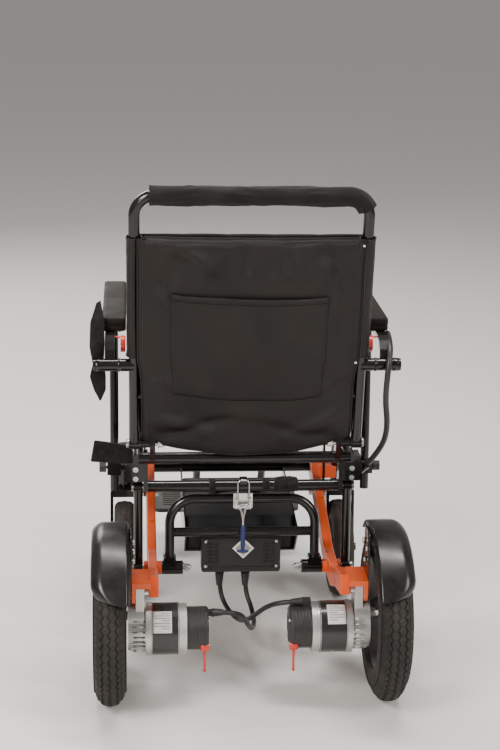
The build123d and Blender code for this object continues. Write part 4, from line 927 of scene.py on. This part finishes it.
# ---- wheels -------------------------------------------------------------
def make_tyres(sizes):
    """Drive tyres with zigzag grooves and shoulder blocks, and plain caster tyres."""
    half, radius = TYRE_HALF, TYRE_RADIUS
    pitch = 2 * math.pi / 62
    for side_name, side in SIDES:
        seat_r = 0.1035
        outline = []
        section = 62
        for k in range(section + 1):
            turn = math.pi * k / section
            across = -math.cos(turn)
            x = half * (abs(across) ** 0.86) * (1 if across > 0 else -1)
            rise = math.sin(turn) ** 0.62
            outline.append((seat_r + (radius - seat_r) * rise, x))
        inner = [(seat_r - 0.004, half * 0.62), (seat_r - 0.004, -half * 0.62)]

        def tread(r, x, angle, half=half, radius=radius):
            depth = (r - seat_r) / (radius - seat_r)
            if depth < 0.55:
                return r
            phase = (angle / pitch) % 1.0
            zig = abs(2 * phase - 1) * 2 - 1
            cut = 0.0
            for line in (-0.0125, 0.0, 0.0125):
                gap = abs(x - line - 0.0022 * zig * (1 if line else -1))
                cut = max(cut, 1 - max(0.0, gap - 0.0011) / 0.0007)
            if abs(x) > 0.0172:
                block_gap = abs(((angle / pitch + 0.25 + abs(x) * 16) % 1.0) - 0.5)
                cut = max(cut, 1 - max(0.0, block_gap - 0.13) / 0.06)
                edge = abs(abs(x) - 0.0186)
                cut = max(cut, 0.75 * (1 - max(0.0, edge - 0.0008) / 0.0006))
            elif abs(x) < 0.0172:
                sipe = abs(((angle / pitch * 2 + x * 60) % 1.0) - 0.5)
                if sipe < 0.06:
                    cut = max(cut, 0.35)
            cut = max(0.0, min(1.0, cut))
            return r - sizes.tread * cut * min(1.0, (depth - 0.55) / 0.22)
        steps = 62 * 12
        points, faces = turned(outline + inner, at(side * WHEEL_X, 0, TYRE_RADIUS), steps, tread)
        made = piece("drive_tyre_" + side_name, points, faces, FINISH["rubber"],
                     "wheel_" + side_name, material_slot="tyre_rubber")
        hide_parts("wheel_tyre_" + side_name)
        rings = []
        for r, x, w in ((0.121, 0.0262, 0.0008), (0.131, 0.0281, 0.0007), (0.134, 0.0283, 0.0007)):
            for flip in (-1, 1):
                ring = [(r - w, flip * (x - 0.0012)), (r - w * 0.4, flip * (x + 0.0003)),
                        (r + w * 0.4, flip * (x + 0.0003)), (r + w, flip * (x - 0.0012))]
                rings.append(turned(ring, at(side * WHEEL_X, 0, TYRE_RADIUS), 160))
        piece("sidewall_ribs_" + side_name, *join(rings), FINISH["rubber"], "wheel_" + side_name,
              material_slot="tyre_rubber")
        low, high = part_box("caster_tyre_" + side_name)
        centre = (low + high) / 2
        reach, wide = (high.z - low.z) / 2, (high.x - low.x) / 2
        outline = []
        for k in range(41):
            turn = math.pi * k / 40
            across = -math.cos(turn)
            x = wide * (abs(across) ** 0.8) * (1 if across > 0 else -1)
            outline.append((0.0762 + (reach - 0.0762) * math.sin(turn) ** 0.5, x))
        outline += [(0.0750, wide * 0.66), (0.0750, -wide * 0.66)]

        def rib(r, x, angle, reach=reach):
            if r < reach * 0.93:
                return r
            cut = max(0.0, 1 - abs(abs(x) - 0.0065) / 0.0012)
            return r - 0.0016 * min(1.0, cut)
        made = piece("caster_rubber_" + side_name, *turned(outline, centre, 180, rib),
                     FINISH["rubber"], "caster_" + side_name, material_slot="tyre_rubber")
        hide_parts("caster_tyre_" + side_name)


def make_rims():
    """Cast rims with five tapered spokes, a hub cap with its bolts, and a valve."""
    for side_name, side in SIDES:
        centre = at(side * WHEEL_X, 0, TYRE_RADIUS)
        hub_in = side * 0.007 - side * WHEEL_X + side * 0.2375
        well = [(0.1028, -0.0222), (0.1062, -0.0238), (0.1074, -0.0226), (0.1050, -0.0196),
                (0.0990, -0.0150), (0.0968, -0.0080), (0.0968, 0.0080), (0.0990, 0.0150),
                (0.1050, 0.0196), (0.1074, 0.0226), (0.1062, 0.0238), (0.1028, 0.0222),
                (0.0965, 0.0168), (0.0920, 0.0100), (0.0905, 0.0), (0.0920, -0.0100),
                (0.0965, -0.0168)]
        well = [(min(r, 0.1062), x) for r, x in well]
        parts = [turned(well, centre, 120)]
        hub = [(0.0082, hub_in), (0.0225, hub_in), (0.0235, hub_in + side * 0.003),
               (0.0235, side * 0.004), (0.0270, side * 0.006), (0.0270, side * 0.0125),
               (0.0240, side * 0.0150), (0.0130, side * 0.0165), (0.0082, side * 0.0165)]
        parts.append(turned(hub, centre, 72))
        for i in range(5):
            angle = math.radians(72 * i + 36 + 90)
            radial = Vector((0, math.cos(angle), math.sin(angle)))
            around = Vector((0, -math.sin(angle), math.cos(angle)))
            rings = []
            for k in range(9):
                f = k / 8
                r = 0.020 + 0.0735 * f
                wide = 0.0125 + 0.0035 * (2 * f - 1) ** 2 + 0.004 * f ** 4
                deep = 0.0085 - 0.0015 * math.sin(math.pi * f)
                lean = side * (0.0035 * (1 - f))
                ring = []
                for m in range(20):
                    turn = 2 * math.pi * m / 20
                    cx = abs(math.cos(turn)) ** 0.5 * (1 if math.cos(turn) > 0 else -1)
                    sx = abs(math.sin(turn)) ** 0.5 * (1 if math.sin(turn) > 0 else -1)
                    ring.append(centre + radial * r + around * wide * cx
                                + Vector((deep * sx + lean, 0, 0)))
                rings.append(ring)
            parts.append(loft(rings))
        rim = piece("cast_rim_" + side_name, *join(parts), FINISH["wheel"], "wheel_" + side_name,
                    material_slot="wheel_grey")
        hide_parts("wheel_rim_" + side_name)
        bits = [turned([(0.0001, side * 0.0222), (0.0070, side * 0.0220), (0.0095, side * 0.0205),
                        (0.0105, side * 0.0160), (0.0001, side * 0.0160)], centre, 40)]
        for i in range(5):
            angle = math.radians(72 * i + 90)
            spot = centre + Vector((0, 0.0185 * math.cos(angle), 0.0185 * math.sin(angle)))
            bits.append(turned([(0.0001, side * 0.0172), (0.0026, side * 0.0172),
                                (0.0030, side * 0.0160), (0.0030, side * 0.0140),
                                (0.0001, side * 0.0140)], spot, 6))
        angle = math.radians(172)
        radial = Vector((0, math.cos(angle), math.sin(angle)))
        start = centre + radial * 0.0915
        bits.append(hose([start + (radial * -0.004 + Vector((side * 0.0030, 0, 0))) * k
                          for k in range(6)], lambda f: 0.0028 if f < 0.5 else 0.0034, 10))
        piece("hub_hardware_" + side_name, *join(bits), FINISH["plated"], "wheel_" + side_name,
              material_slot="plated_steel")
        axle = [(0.0079, -side * 0.0310), (0.0079, side * 0.010), (0.0001, side * 0.010),
                (0.0001, -side * 0.0310)]
        piece("drive_axle_" + side_name, *turned(axle, centre, 32), FINISH["plated"],
              "wheel_" + side_name, material_slot="plated_steel")


def make_fenders():
    """Pressed fenders with rounded corners, a rolled outer lip and their fixing plates."""
    for side_name, side in SIDES:
        first, last = math.radians(60.5), math.radians(150.5)
        section = []
        for k in range(41):
            f = k / 40
            x = 0.2118 + (0.2792 - 0.2118) * f
            drop = 0.0
            if f < 0.10:
                drop = 0.013 * (1 - f / 0.10) ** 1.6
            if f > 0.70:
                drop = 0.0115 * ((f - 0.70) / 0.30) ** 2.2
            section.append((x, 0.1668 + 0.0009 * math.sin(math.pi * f) - drop))
        for k in range(1, 10):
            turn = math.radians(35 * k)
            section.append((0.2786 + 0.0022 * math.sin(turn) - 0.0006,
                            0.1553 - 0.0004 + 0.0022 * (math.cos(turn) - 1)))
        steps = 90

        def place(i, j, section=section, side=side):
            x, r = section[i]
            f = j / steps
            edge = min(f, 1 - f) * (last - first) * 0.166
            corner = 0.046 if f > 0.5 else 0.026
            squeeze = 0.0
            if edge < corner:
                squeeze = corner - math.sqrt(max(0.0, corner ** 2 - (corner - edge) ** 2))
            outer_share = max(0.0, (x - 0.222) / (0.2808 - 0.222))
            x_in = x - squeeze * outer_share
            angle = first + (last - first) * f
            lift = 0.0016 * math.exp(-edge / 0.004)
            return at(side * x_in, (r + lift) * math.cos(angle),
                      TYRE_RADIUS + (r + lift) * math.sin(angle))
        points, faces = grid(len(section) - 1, steps, place)
        shell = piece("fender_shell_" + side_name, points, faces, FINISH["fender"], "chassis",
                      material_slot="frame_black")
        modify(shell, "SOLIDIFY", thickness=0.0020, offset=-1.0)
        x0, x1 = sorted((side * 0.2095, side * 0.2118))
        low, high = at(x0, -0.029, 0.2075), at(x1, 0.029, 0.3190)
        plate = piece("fender_plate_" + side_name, *block(low, high, 0.0008), FINISH["frame"],
                      "chassis", material_slot="frame_black")
        heads = []
        for y, z in ((-0.020, 0.290), (0.020, 0.290), (0.0, 0.262)):
            heads.append(turned([(0.0001, side * 0.0032), (0.0030, side * 0.0028),
                                 (0.0046, side * 0.0012), (0.0048, 0.0), (0.0001, 0.0)],
                                at(side * 0.2118, y, z), 24))
            heads.append(turned([(0.0001, -side * 0.0050), (0.0052, -side * 0.0050),
                                 (0.0056, -side * 0.0044), (0.0056, 0.0), (0.0001, 0.0)],
                                at(side * 0.2095, y, z), 6))
        piece("fender_screws_" + side_name, *join(heads), FINISH["plated"], "chassis",
              material_slot="plated_steel")
    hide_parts("fenders")


# ---- drive units --------------------------------------------------------
def make_drive_details():
    """Labels, seams, screws and ribs on the drive units, and the release levers."""
    low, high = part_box("motor_cans")
    can_r = (high.z - low.z) / 2
    centre_z = (high.z + low.z) / 2
    can_x1 = high.x
    can_x0 = can_x1 - 0.049
    for side_name, side in SIDES:
        centre = at(0, 0, centre_z)
        parts = []
        for x in (can_x0 + 0.0006, can_x1 - 0.0016):
            ring = [(can_r - 0.0004, side * x), (can_r + 0.0009, side * (x + 0.0002)),
                    (can_r + 0.0009, side * (x + 0.0010)), (can_r - 0.0004, side * (x + 0.0012))]
            parts.append(turned(ring, centre, 120))
        piece("can_beads_" + side_name, *join(parts), FINISH["casting"], "chassis",
              material_slot="cast_aluminium")
        first, last = (116, 166) if side < 0 else (102, 152)

        def on_can(i, j, n, m, x0, x1, a0, a1, proud, side=side):
            angle = math.radians(a0 + (a1 - a0) * j / m)
            x = x0 + (x1 - x0) * i / n
            r = can_r + proud
            return centre + Vector((side * x, r * math.cos(angle), r * math.sin(angle)))
        sticker = grid(8, 24, lambda i, j: on_can(i, j, 8, 24, can_x1 - 0.036, can_x1 - 0.003,
                                                  first, last, 0.0003))
        label = piece("motor_label_" + side_name, *sticker, FINISH["label"], "chassis",
                      material_slot="cast_aluminium")
        modify(label, "SOLIDIFY", thickness=0.0002, offset=1.0)
        bars = []
        for k in range(7):
            a0 = first + 5 + (last - first - 10) * k / 7
            wide = 0.028 if k % 3 else 0.015
            bars.append(grid(4, 2, lambda i, j, a0=a0, wide=wide: on_can(
                i, j, 4, 2, can_x1 - 0.0335, can_x1 - 0.0335 + wide, a0, a0 + 2.2, 0.00062)))
        print_bars = piece("label_rules_" + side_name, *join(bars), FINISH["print"], "chassis",
                           material_slot="cast_aluminium")
        modify(print_bars, "SOLIDIFY", thickness=0.0001, offset=1.0)
        screws = []
        for k in range(4):
            angle = math.radians(45 + 90 * k)
            spot = centre + Vector((0, 0.0315 * math.cos(angle), 0.0315 * math.sin(angle)))
            screws.append(turned([(0.0001, side * 0.0706), (0.0024, side * 0.0708),
                                  (0.0030, side * 0.0722), (0.0030, side * 0.0742),
                                  (0.0001, side * 0.0742)], spot, 20))
        piece("cap_screws_" + side_name, *join(screws), FINISH["plated"], "chassis",
              material_slot="plated_steel")
        ribs = []
        for x in (0.0795, 0.0855, 0.0915, 0.0975, 0.1035, 0.1095):
            ring = [(0.0380, side * x), (0.0391, side * (x + 0.0005)),
                    (0.0391, side * (x + 0.0019)), (0.0380, side * (x + 0.0024))]
            steps = 96
            points, faces = turned(ring, centre, steps)
            keep = []
            for face in faces:
                p = sum((points[i] for i in face), Vector()) / 4
                turn = math.degrees(math.atan2(p.z - centre.z, p.y - centre.y)) % 360
                if turn < 62 or 98 < turn < 196 or turn > 262:
                    keep.append(face)
            ribs.append((points, keep))
        rib_piece = piece("cap_ribs_" + side_name, *join(ribs), FINISH["plastic"], "chassis",
                          material_slot="case_plastic")
        bm = bmesh.new()
        bm.from_mesh(rib_piece.data)
        loose = [v for v in bm.verts if not v.link_faces]
        bmesh.ops.delete(bm, geom=loose, context="VERTS")
        bm.to_mesh(rib_piece.data)
        bm.free()
        fins = []
        for k in range(13):
            angle = math.radians(138 + 14 * k)
            radial = Vector((0, math.cos(angle), math.sin(angle)))
            around = Vector((0, -math.sin(angle), math.cos(angle)))
            rings = []
            for x in (0.1865, 0.1885, 0.206, 0.2085):
                tall = 0.0052 if 0.187 < x < 0.207 else 0.0020
                base = centre + Vector((side * x, 0, 0)) + radial * 0.0365
                rings.append([base + around * 0.0016, base + radial * tall + around * 0.0010,
                              base + radial * tall - around * 0.0010, base - around * 0.0016])
            fins.append(loft(rings))
        piece("gearbox_fins_" + side_name, *join(fins), FINISH["casting"], "chassis",
              material_slot="cast_aluminium")
        x = side * 0.080
        line = [at(x, -0.025 - 0.003 * f, 0.1085 - 0.047 * f)
                for f in (0, .1, .25, .4, .6, .8, .94, 1)]
        arm = hose(line, lambda f: 0.0036 - 0.0014 * min(1, f * 2.2)
                   + (0.0008 if f > 0.9 else 0), 16)
        head = turned([(0.0001, -0.0078), (0.0072, -0.0078), (0.0088, -0.0062), (0.0090, 0.0),
                       (0.0088, 0.0062), (0.0072, 0.0078), (0.0001, 0.0078)],
                      at(x, -0.025, 0.108), 40)
        tip = hose([at(x, -0.0278, 0.0625), at(x, -0.0279, 0.0605), at(x, -0.028, 0.0590)],
                   lambda f: 0.0030 - 0.0016 * f, 16)
        pin = turned([(0.0001, side * 0.0000), (0.0029, side * 0.0000), (0.0029, side * 0.0168),
                      (0.0001, side * 0.0168)], at(x, -0.025, 0.108), 20)
        lever = piece("release_lever_" + side_name, *join([arm, head, tip, pin]), FINISH["lever"],
                      "brake_lever_" + side_name, material_slot="red_plastic")
        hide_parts("brake_lever_" + side_name)


def make_controller_details():
    """A blank diamond label, a lid line and screws on the controller box, and battery trim."""
    low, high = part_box("controller_box")
    back = low.y
    parts = []
    middle = Vector((0.004, back, 0.200))
    size = 0.021
    diamond = [middle + Vector((size * c, -0.0005, size * s))
               for c, s in ((1, 0), (0, 1), (-1, 0), (0, -1))]
    inner = [middle + Vector((size * 0.72 * c, -0.0009, size * 0.72 * s))
             for c, s in ((1, 0), (0, 1), (-1, 0), (0, -1))]
    label = piece("diamond_label", diamond, [(0, 1, 2, 3)], FINISH["label"], "chassis",
                  smooth=False, material_slot="cast_aluminium")
    modify(label, "SOLIDIFY", thickness=0.0003, offset=0.0)
    centre_mark = piece("diamond_field", inner, [(0, 1, 2, 3)], FINISH["print"], "chassis",
                        smooth=False, material_slot="cast_aluminium")
    modify(centre_mark, "SOLIDIFY", thickness=0.0002, offset=0.0)
    half = 0.076
    for z in (0.1585, 0.2185):
        parts.append(block(Vector((-half - 0.0006, back - 0.0006, z)),
                           Vector((half + 0.0006, back + 0.030, z + 0.0022)), 0.0004))
    for x in (-0.060, -0.048, 0.048, 0.060):
        for k in range(6):
            z = 0.168 + 0.0075 * k
            parts.append(block(Vector((x - 0.004, back - 0.0010, z)),
                               Vector((x + 0.004, back + 0.004, z + 0.0028)), 0.0005))
    piece("controller_ribs", *join(parts), FINISH["plastic"], "chassis",
          material_slot="case_plastic")
    screws = []
    for x in (-0.068, 0.068):
        for z in (0.163, 0.214):
            spot = Vector((x, back, z))
            rings = []
            for y, r in ((0.0, 0.0034), (-0.0010, 0.0034), (-0.0018, 0.0026), (-0.0020, 0.0010)):
                rings.append(ring_about(spot + Vector((0, y, 0)), Vector((1, 0, 0)),
                                        Vector((0, 0, 1)), r, 20))
            screws.append(loft(rings))
    piece("controller_screws", *join(screws), FINISH["plated"], "chassis",
          material_slot="plated_steel")
    low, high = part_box("battery_pack")
    trim = [block(Vector((low.x - 0.0002, low.y + 0.02, high.z - 0.0195)),
                  Vector((high.x + 0.0002, high.y + 0.0006, high.z - 0.0175)), 0.0004)]
    middle_y = (low.y + high.y) / 2
    line = []
    for k in range(25):
        f = k / 24
        rise = 0.017 * math.sin(math.pi * f) ** 0.5
        line.append(Vector((-0.055 + 0.110 * f, middle_y, high.z - 0.001 + rise)))
    trim.append(hose(line, 0.0058, 14))
    piece("battery_trim", *join(trim), FINISH["plastic"], "chassis", material_slot="case_plastic")


# ---- joystick, latch, footplate -----------------------------------------
def rounded_rings(middle, half, corner, levels):
    """Rings of a rounded rectangle at (height, inset) levels."""
    rings = []
    for z, inset in levels:
        ring = []
        for cx, cy, first in ((1, 1, 0), (-1, 1, 90), (-1, -1, 180), (1, -1, 270)):
            for k in range(9):
                turn = math.radians(first + 90 * k / 8)
                r = max(corner - inset, 0.001)
                ring.append(Vector((middle.x + cx * (half.x - corner) + r * math.cos(turn),
                                    middle.y + cy * (half.y - corner) + r * math.sin(turn), z)))
        rings.append(ring)
    return rings


def make_joystick():
    """Joystick casing with a dished top, a pleated gaiter and the knob; blank keys."""
    low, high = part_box("joystick_housing")
    middle, half = (low + high) / 2, (high - low) / 2
    tall = high.z - low.z
    levels = [(low.z, 0.006), (low.z + 0.001, 0.003), (low.z + 0.006, 0.0004),
              (low.z + 0.45 * tall, 0.0), (low.z + 0.46 * tall, 0.0012),
              (low.z + 0.50 * tall, 0.0012), (low.z + 0.51 * tall, 0.0),
              (low.z + 0.80 * tall, 0.0010), (low.z + 0.91 * tall, 0.0040),
              (low.z + 0.97 * tall, 0.0090), (low.z + 0.985 * tall, 0.0140)]
    rings = rounded_rings(middle, half, 0.020, levels)
    shell = piece("joystick_casing", *loft(rings), FINISH["plastic"], "armrest_right",
                  material_slot="case_plastic")
    modify(shell, "BEVEL", width=0.0010, segments=2, limit_method="ANGLE",
           angle_limit=math.radians(40))
    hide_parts("joystick_housing")
    s_low, s_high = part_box("stick")
    spot = (s_low + s_high) / 2
    rings = []
    for r, z in ((0.0242, high.z - 0.0030), (0.0242, high.z + 0.0002), (0.0232, high.z + 0.0010),
                 (0.0220, high.z + 0.0010), (0.0214, high.z + 0.0002), (0.0214, high.z - 0.0030),
                 (0.0242, high.z - 0.0030)):
        rings.append(ring_about(Vector((spot.x, spot.y, z)), Vector((1, 0, 0)), Vector((0, 1, 0)),
                                r, 48))
    piece("stick_collar", *loft(rings, capped=False), FINISH["button"], "armrest_right",
          material_slot="button_grey")
    rings = []
    top = s_high.z - 0.0270
    for k in range(37):
        f = k / 36
        r = 0.0170 * (1 - f) ** 0.8 + 0.0052 + 0.0011 * math.cos(f * math.pi * 8)
        r = min(r, 0.0172)
        z = high.z + 0.0050 + (top - high.z - 0.0050) * f
        rings.append(ring_about(Vector((spot.x, spot.y, z)),
                                Vector((1, 0, 0)), Vector((0, 1, 0)), r, 40))
    for r, z in ((0.0056, top + 0.001), (0.0085, top + 0.003), (0.0122, top + 0.0075),
                 (0.0135, top + 0.0130), (0.0132, top + 0.0180), (0.0112, top + 0.0225),
                 (0.0070, top + 0.0256), (0.0020, top + 0.0268)):
        rings.append(ring_about(Vector((spot.x, spot.y, z)), Vector((1, 0, 0)), Vector((0, 1, 0)),
                                r, 40))
    knob = piece("stick_gaiter_and_knob", *loft(rings), FINISH["plastic"], "stick",
                 material_slot="case_plastic")
    modify(knob, "SUBSURF", levels=1, render_levels=1)
    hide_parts("stick")
    lamps = []
    for k in range(5):
        x = spot.x - 0.018 + 0.009 * k
        lamps.append(block(Vector((x - 0.0028, spot.y + 0.0285, high.z - 0.0016)),
                           Vector((x + 0.0028, spot.y + 0.0320, high.z + 0.0001)), 0.0004))
    piece("charge_lamps", *join(lamps), FINISH["label"], "armrest_right",
          material_slot="button_grey")


def make_latch_grip():
    """The blue T grip with a tapered stem and rounded bar."""
    low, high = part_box("latch_grip")
    x = (low.x + high.x) / 2
    y = (low.y + high.y) / 2
    line = [Vector((x, y + 0.0015 - 0.003 * f, high.z - (high.z - low.z - 0.004) * f))
            for f in (0, .08, .2, .35, .5, .65, .8, .92, 1)]
    stem = hose(line, lambda f: 0.0030 + 0.0019 * math.sin(math.pi * min(1, f * 1.1)) ** 0.8, 20)
    bar = [Vector((x - 0.011 + 0.022 * k / 16, y - 0.0015, low.z + 0.0034)) for k in range(17)]
    cross = hose(bar, lambda f: 0.0033 * math.sin(math.pi * (0.10 + 0.80 * f)) ** 0.35, 16)
    made = piece("latch_t_grip", *join([stem, cross]), FINISH["grip"], "latch_lever",
                 material_slot="blue_plastic")
    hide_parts("latch_grip")


def make_footplate_grip():
    """Raised grip bars and a rubber heel strip on the footplate."""
    low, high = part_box("footplate")
    top = low.z + 0.008
    bars = []
    for k in range(9):
        y = low.y + 0.028 + 0.0125 * k
        for x0, x1 in ((-0.140, -0.012), (0.012, 0.140)):
            bars.append(block(Vector((x0, y, top - 0.0006)), Vector((x1, y + 0.0042, top + 0.0014)),
                              0.0007))
    piece("footplate_treads", *join(bars), FINISH["rubber"], "footplate",
          material_slot="tyre_rubber")


def make_plugs():
    """Plastic end plugs in the seat rails."""
    parts = []
    for side in (-1, 1):
        low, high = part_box("seat_frame")
        y = high.y
        centre = Vector((side * 0.196, y, 0.403))
        rings = []
        for step, r in ((-0.004, 0.0082), (0.0, 0.0082), (0.0002, 0.0101), (0.0022, 0.0101),
                        (0.0036, 0.0084), (0.0040, 0.0040)):
            rings.append(ring_about(centre + Vector((0, step, 0)), Vector((1, 0, 0)),
                                    Vector((0, 0, 1)), r, 28))
        parts.append(loft(rings))
    piece("rail_plugs", *join(parts), FINISH["plastic"], "seat", material_slot="case_plastic")


# ---- studio -------------------------------------------------------------
def soft_light(name, place, target, size, power, tone):
    lamp = bpy.data.lights.new(name, "AREA")
    lamp.shape = "RECTANGLE"
    lamp.size, lamp.size_y = size
    lamp.energy = power
    lamp.color = tone
    made = bpy.data.objects.new(name, lamp)
    made.location = place
    made.rotation_euler = (Vector(target) - Vector(place)).to_track_quat("-Z", "Y").to_euler()
    bpy.context.scene.collection.objects.link(made)


def make_stage(colours):
    """Camera, pale floor, soft lights and a plain sky."""
    camera = bpy.data.cameras.new("studio_camera")
    camera.lens = 76.0
    camera.sensor_width = 36.0
    camera.clip_end = 200.0
    made = bpy.data.objects.new("studio_camera", camera)
    turn = (Matrix.Rotation(math.radians(-4.47), 4, "Z")
            @ Matrix.Rotation(math.radians(90 - 15.8), 4, "X")
            @ Matrix.Rotation(math.radians(1.04), 4, "Z"))
    made.matrix_world = Matrix.Translation((-0.210, -2.9365, 1.348)) @ turn
    bpy.context.scene.collection.objects.link(made)
    bpy.context.scene.camera = made
    mesh = bpy.data.meshes.new("studio_floor")
    mesh.from_pydata([(-60, -60, 0), (60, -60, 0), (60, 60, 0), (-60, 60, 0)], [], [(0, 1, 2, 3)])
    floor = bpy.data.objects.new("studio_floor", mesh)
    bpy.context.scene.collection.objects.link(floor)
    floor.data.materials.append(finish("floor_paint", colours.floor, 0.55, tint=colours.floor,
                                       grain_scale=90, height=0.0002, strength=0.05, specular=0.3))
    world = bpy.data.worlds.new("studio_sky")
    world.use_nodes = True
    sky = world.node_tree.nodes["Background"]
    sky.inputs["Color"].default_value = (0.95, 0.93, 0.90, 1.0)
    sky.inputs["Strength"].default_value = 0.36
    bpy.context.scene.world = world
    soft_light("key_light", (-2.3, -2.6, 3.0), (0, 0, 0.4), (1.2, 1.2), 120, (1.0, 0.96, 0.92))
    soft_light("fill_light", (2.7, -2.0, 2.3), (0, 0, 0.4), (0.8, 1.8), 70, (1.0, 0.97, 0.94))
    soft_light("top_light", (0.1, 0.2, 3.2), (0, 0, 0.4), (2.4, 0.35), 95, (1.0, 0.98, 0.96))
    soft_light("strip_light", (-1.5, -2.9, 1.6), (0, 0, 0.45), (0.16, 1.6), 26, (1.0, 0.98, 0.95))
    soft_light("rim_light", (-1.2, 3.0, 2.2), (0, 0, 0.5), (1.4, 1.4), 55, (1.0, 0.97, 0.93))


# ---- operators ----------------------------------------------------------
def operator(key, label, text, work):
    """One operator class for a piece or a group of like pieces."""
    def execute(self, context):
        work(context.scene.chair_colours, context.scene.chair_sizes)
        return {"FINISHED"}
    return type("CHAIR_OT_" + key, (bpy.types.Operator,), {
        "bl_idname": "chair." + key, "bl_label": label, "__doc__": text, "execute": execute})


def prepare_finishes(colours, sizes):
    FINISH.update(make_finishes(colours, sizes))


STEPS = [
    operator("finishes", "Finishes", "Make the node materials", prepare_finishes),
    operator("stage", "Studio", "Set up the camera, floor and lights", lambda c, s: make_stage(c)),
    operator("cables", "Cables", "Lay the three cables", lambda c, s: make_cables()),
    operator("metal", "Frame", "Paint the frame and plate the hardware",
             lambda c, s: finish_metal()),
    operator("canvas", "Canvas", "Sew the backrest canvas", lambda c, s: make_canvas(s)),
    operator("sleeve", "Sleeve", "Pull the sleeve on the push bar",
             lambda c, s: make_push_bar_sleeve()),
    operator("seat", "Seat", "Fill and pipe the seat cushion", lambda c, s: make_seat(s)),
    operator("belt", "Belt", "Hang the lap belt and its strap", lambda c, s: make_belt_and_strap()),
    operator("wraps", "Wraps", "Wrap the lower cross tube", lambda c, s: make_wraps()),
    operator("pads", "Arm pads", "Mould the arm pads", lambda c, s: make_arm_pads()),
    operator("caps", "Pivot caps", "Cap the armrest pivots", lambda c, s: make_pivot_caps()),
    operator("tyres", "Tyres", "Cut the tyre treads", lambda c, s: make_tyres(s)),
    operator("rims", "Rims", "Cast the rims", lambda c, s: make_rims()),
    operator("fenders", "Fenders", "Press the fenders", lambda c, s: make_fenders()),
    operator("drives", "Drive units", "Detail the drive units", lambda c, s: make_drive_details()),
    operator("controller", "Controller", "Detail the controller and battery",
             lambda c, s: make_controller_details()),
    operator("joystick", "Joystick", "Make the joystick", lambda c, s: make_joystick()),
    operator("grip", "Latch grip", "Make the latch grip", lambda c, s: make_latch_grip()),
    operator("plate", "Footplate", "Add the footplate's treads",
             lambda c, s: make_footplate_grip()),
    operator("plugs", "Plugs", "Plug the rail ends", lambda c, s: make_plugs()),
]


class CHAIR_PT_panel(bpy.types.Panel):
    """Sizes, colours and steps of the wheelchair."""
    bl_label = "Wheelchair"
    bl_idname = "CHAIR_PT_panel"
    bl_space_type = "VIEW_3D"
    bl_region_type = "UI"
    bl_category = "Wheelchair"

    def draw(self, context):
        for group in (context.scene.chair_sizes, context.scene.chair_colours):
            box = self.layout.box()
            for key in group.__annotations__:
                box.prop(group, key)
        for step in STEPS:
            self.layout.operator(step.bl_idname)


CLASSES = [ChairColours, ChairSizes] + STEPS + [CHAIR_PT_panel]


def register():
    for cls in CLASSES:
        bpy.utils.register_class(cls)
    bpy.types.Scene.chair_colours = bpy.props.PointerProperty(type=ChairColours)
    bpy.types.Scene.chair_sizes = bpy.props.PointerProperty(type=ChairSizes)


def unregister():
    del bpy.types.Scene.chair_sizes
    del bpy.types.Scene.chair_colours
    for cls in reversed(CLASSES):
        bpy.utils.unregister_class(cls)


def main():
    register()
    for step in STEPS:
        getattr(bpy.ops.chair, step.bl_idname.split(".")[1])()


if __name__ == "__main__":
    main()
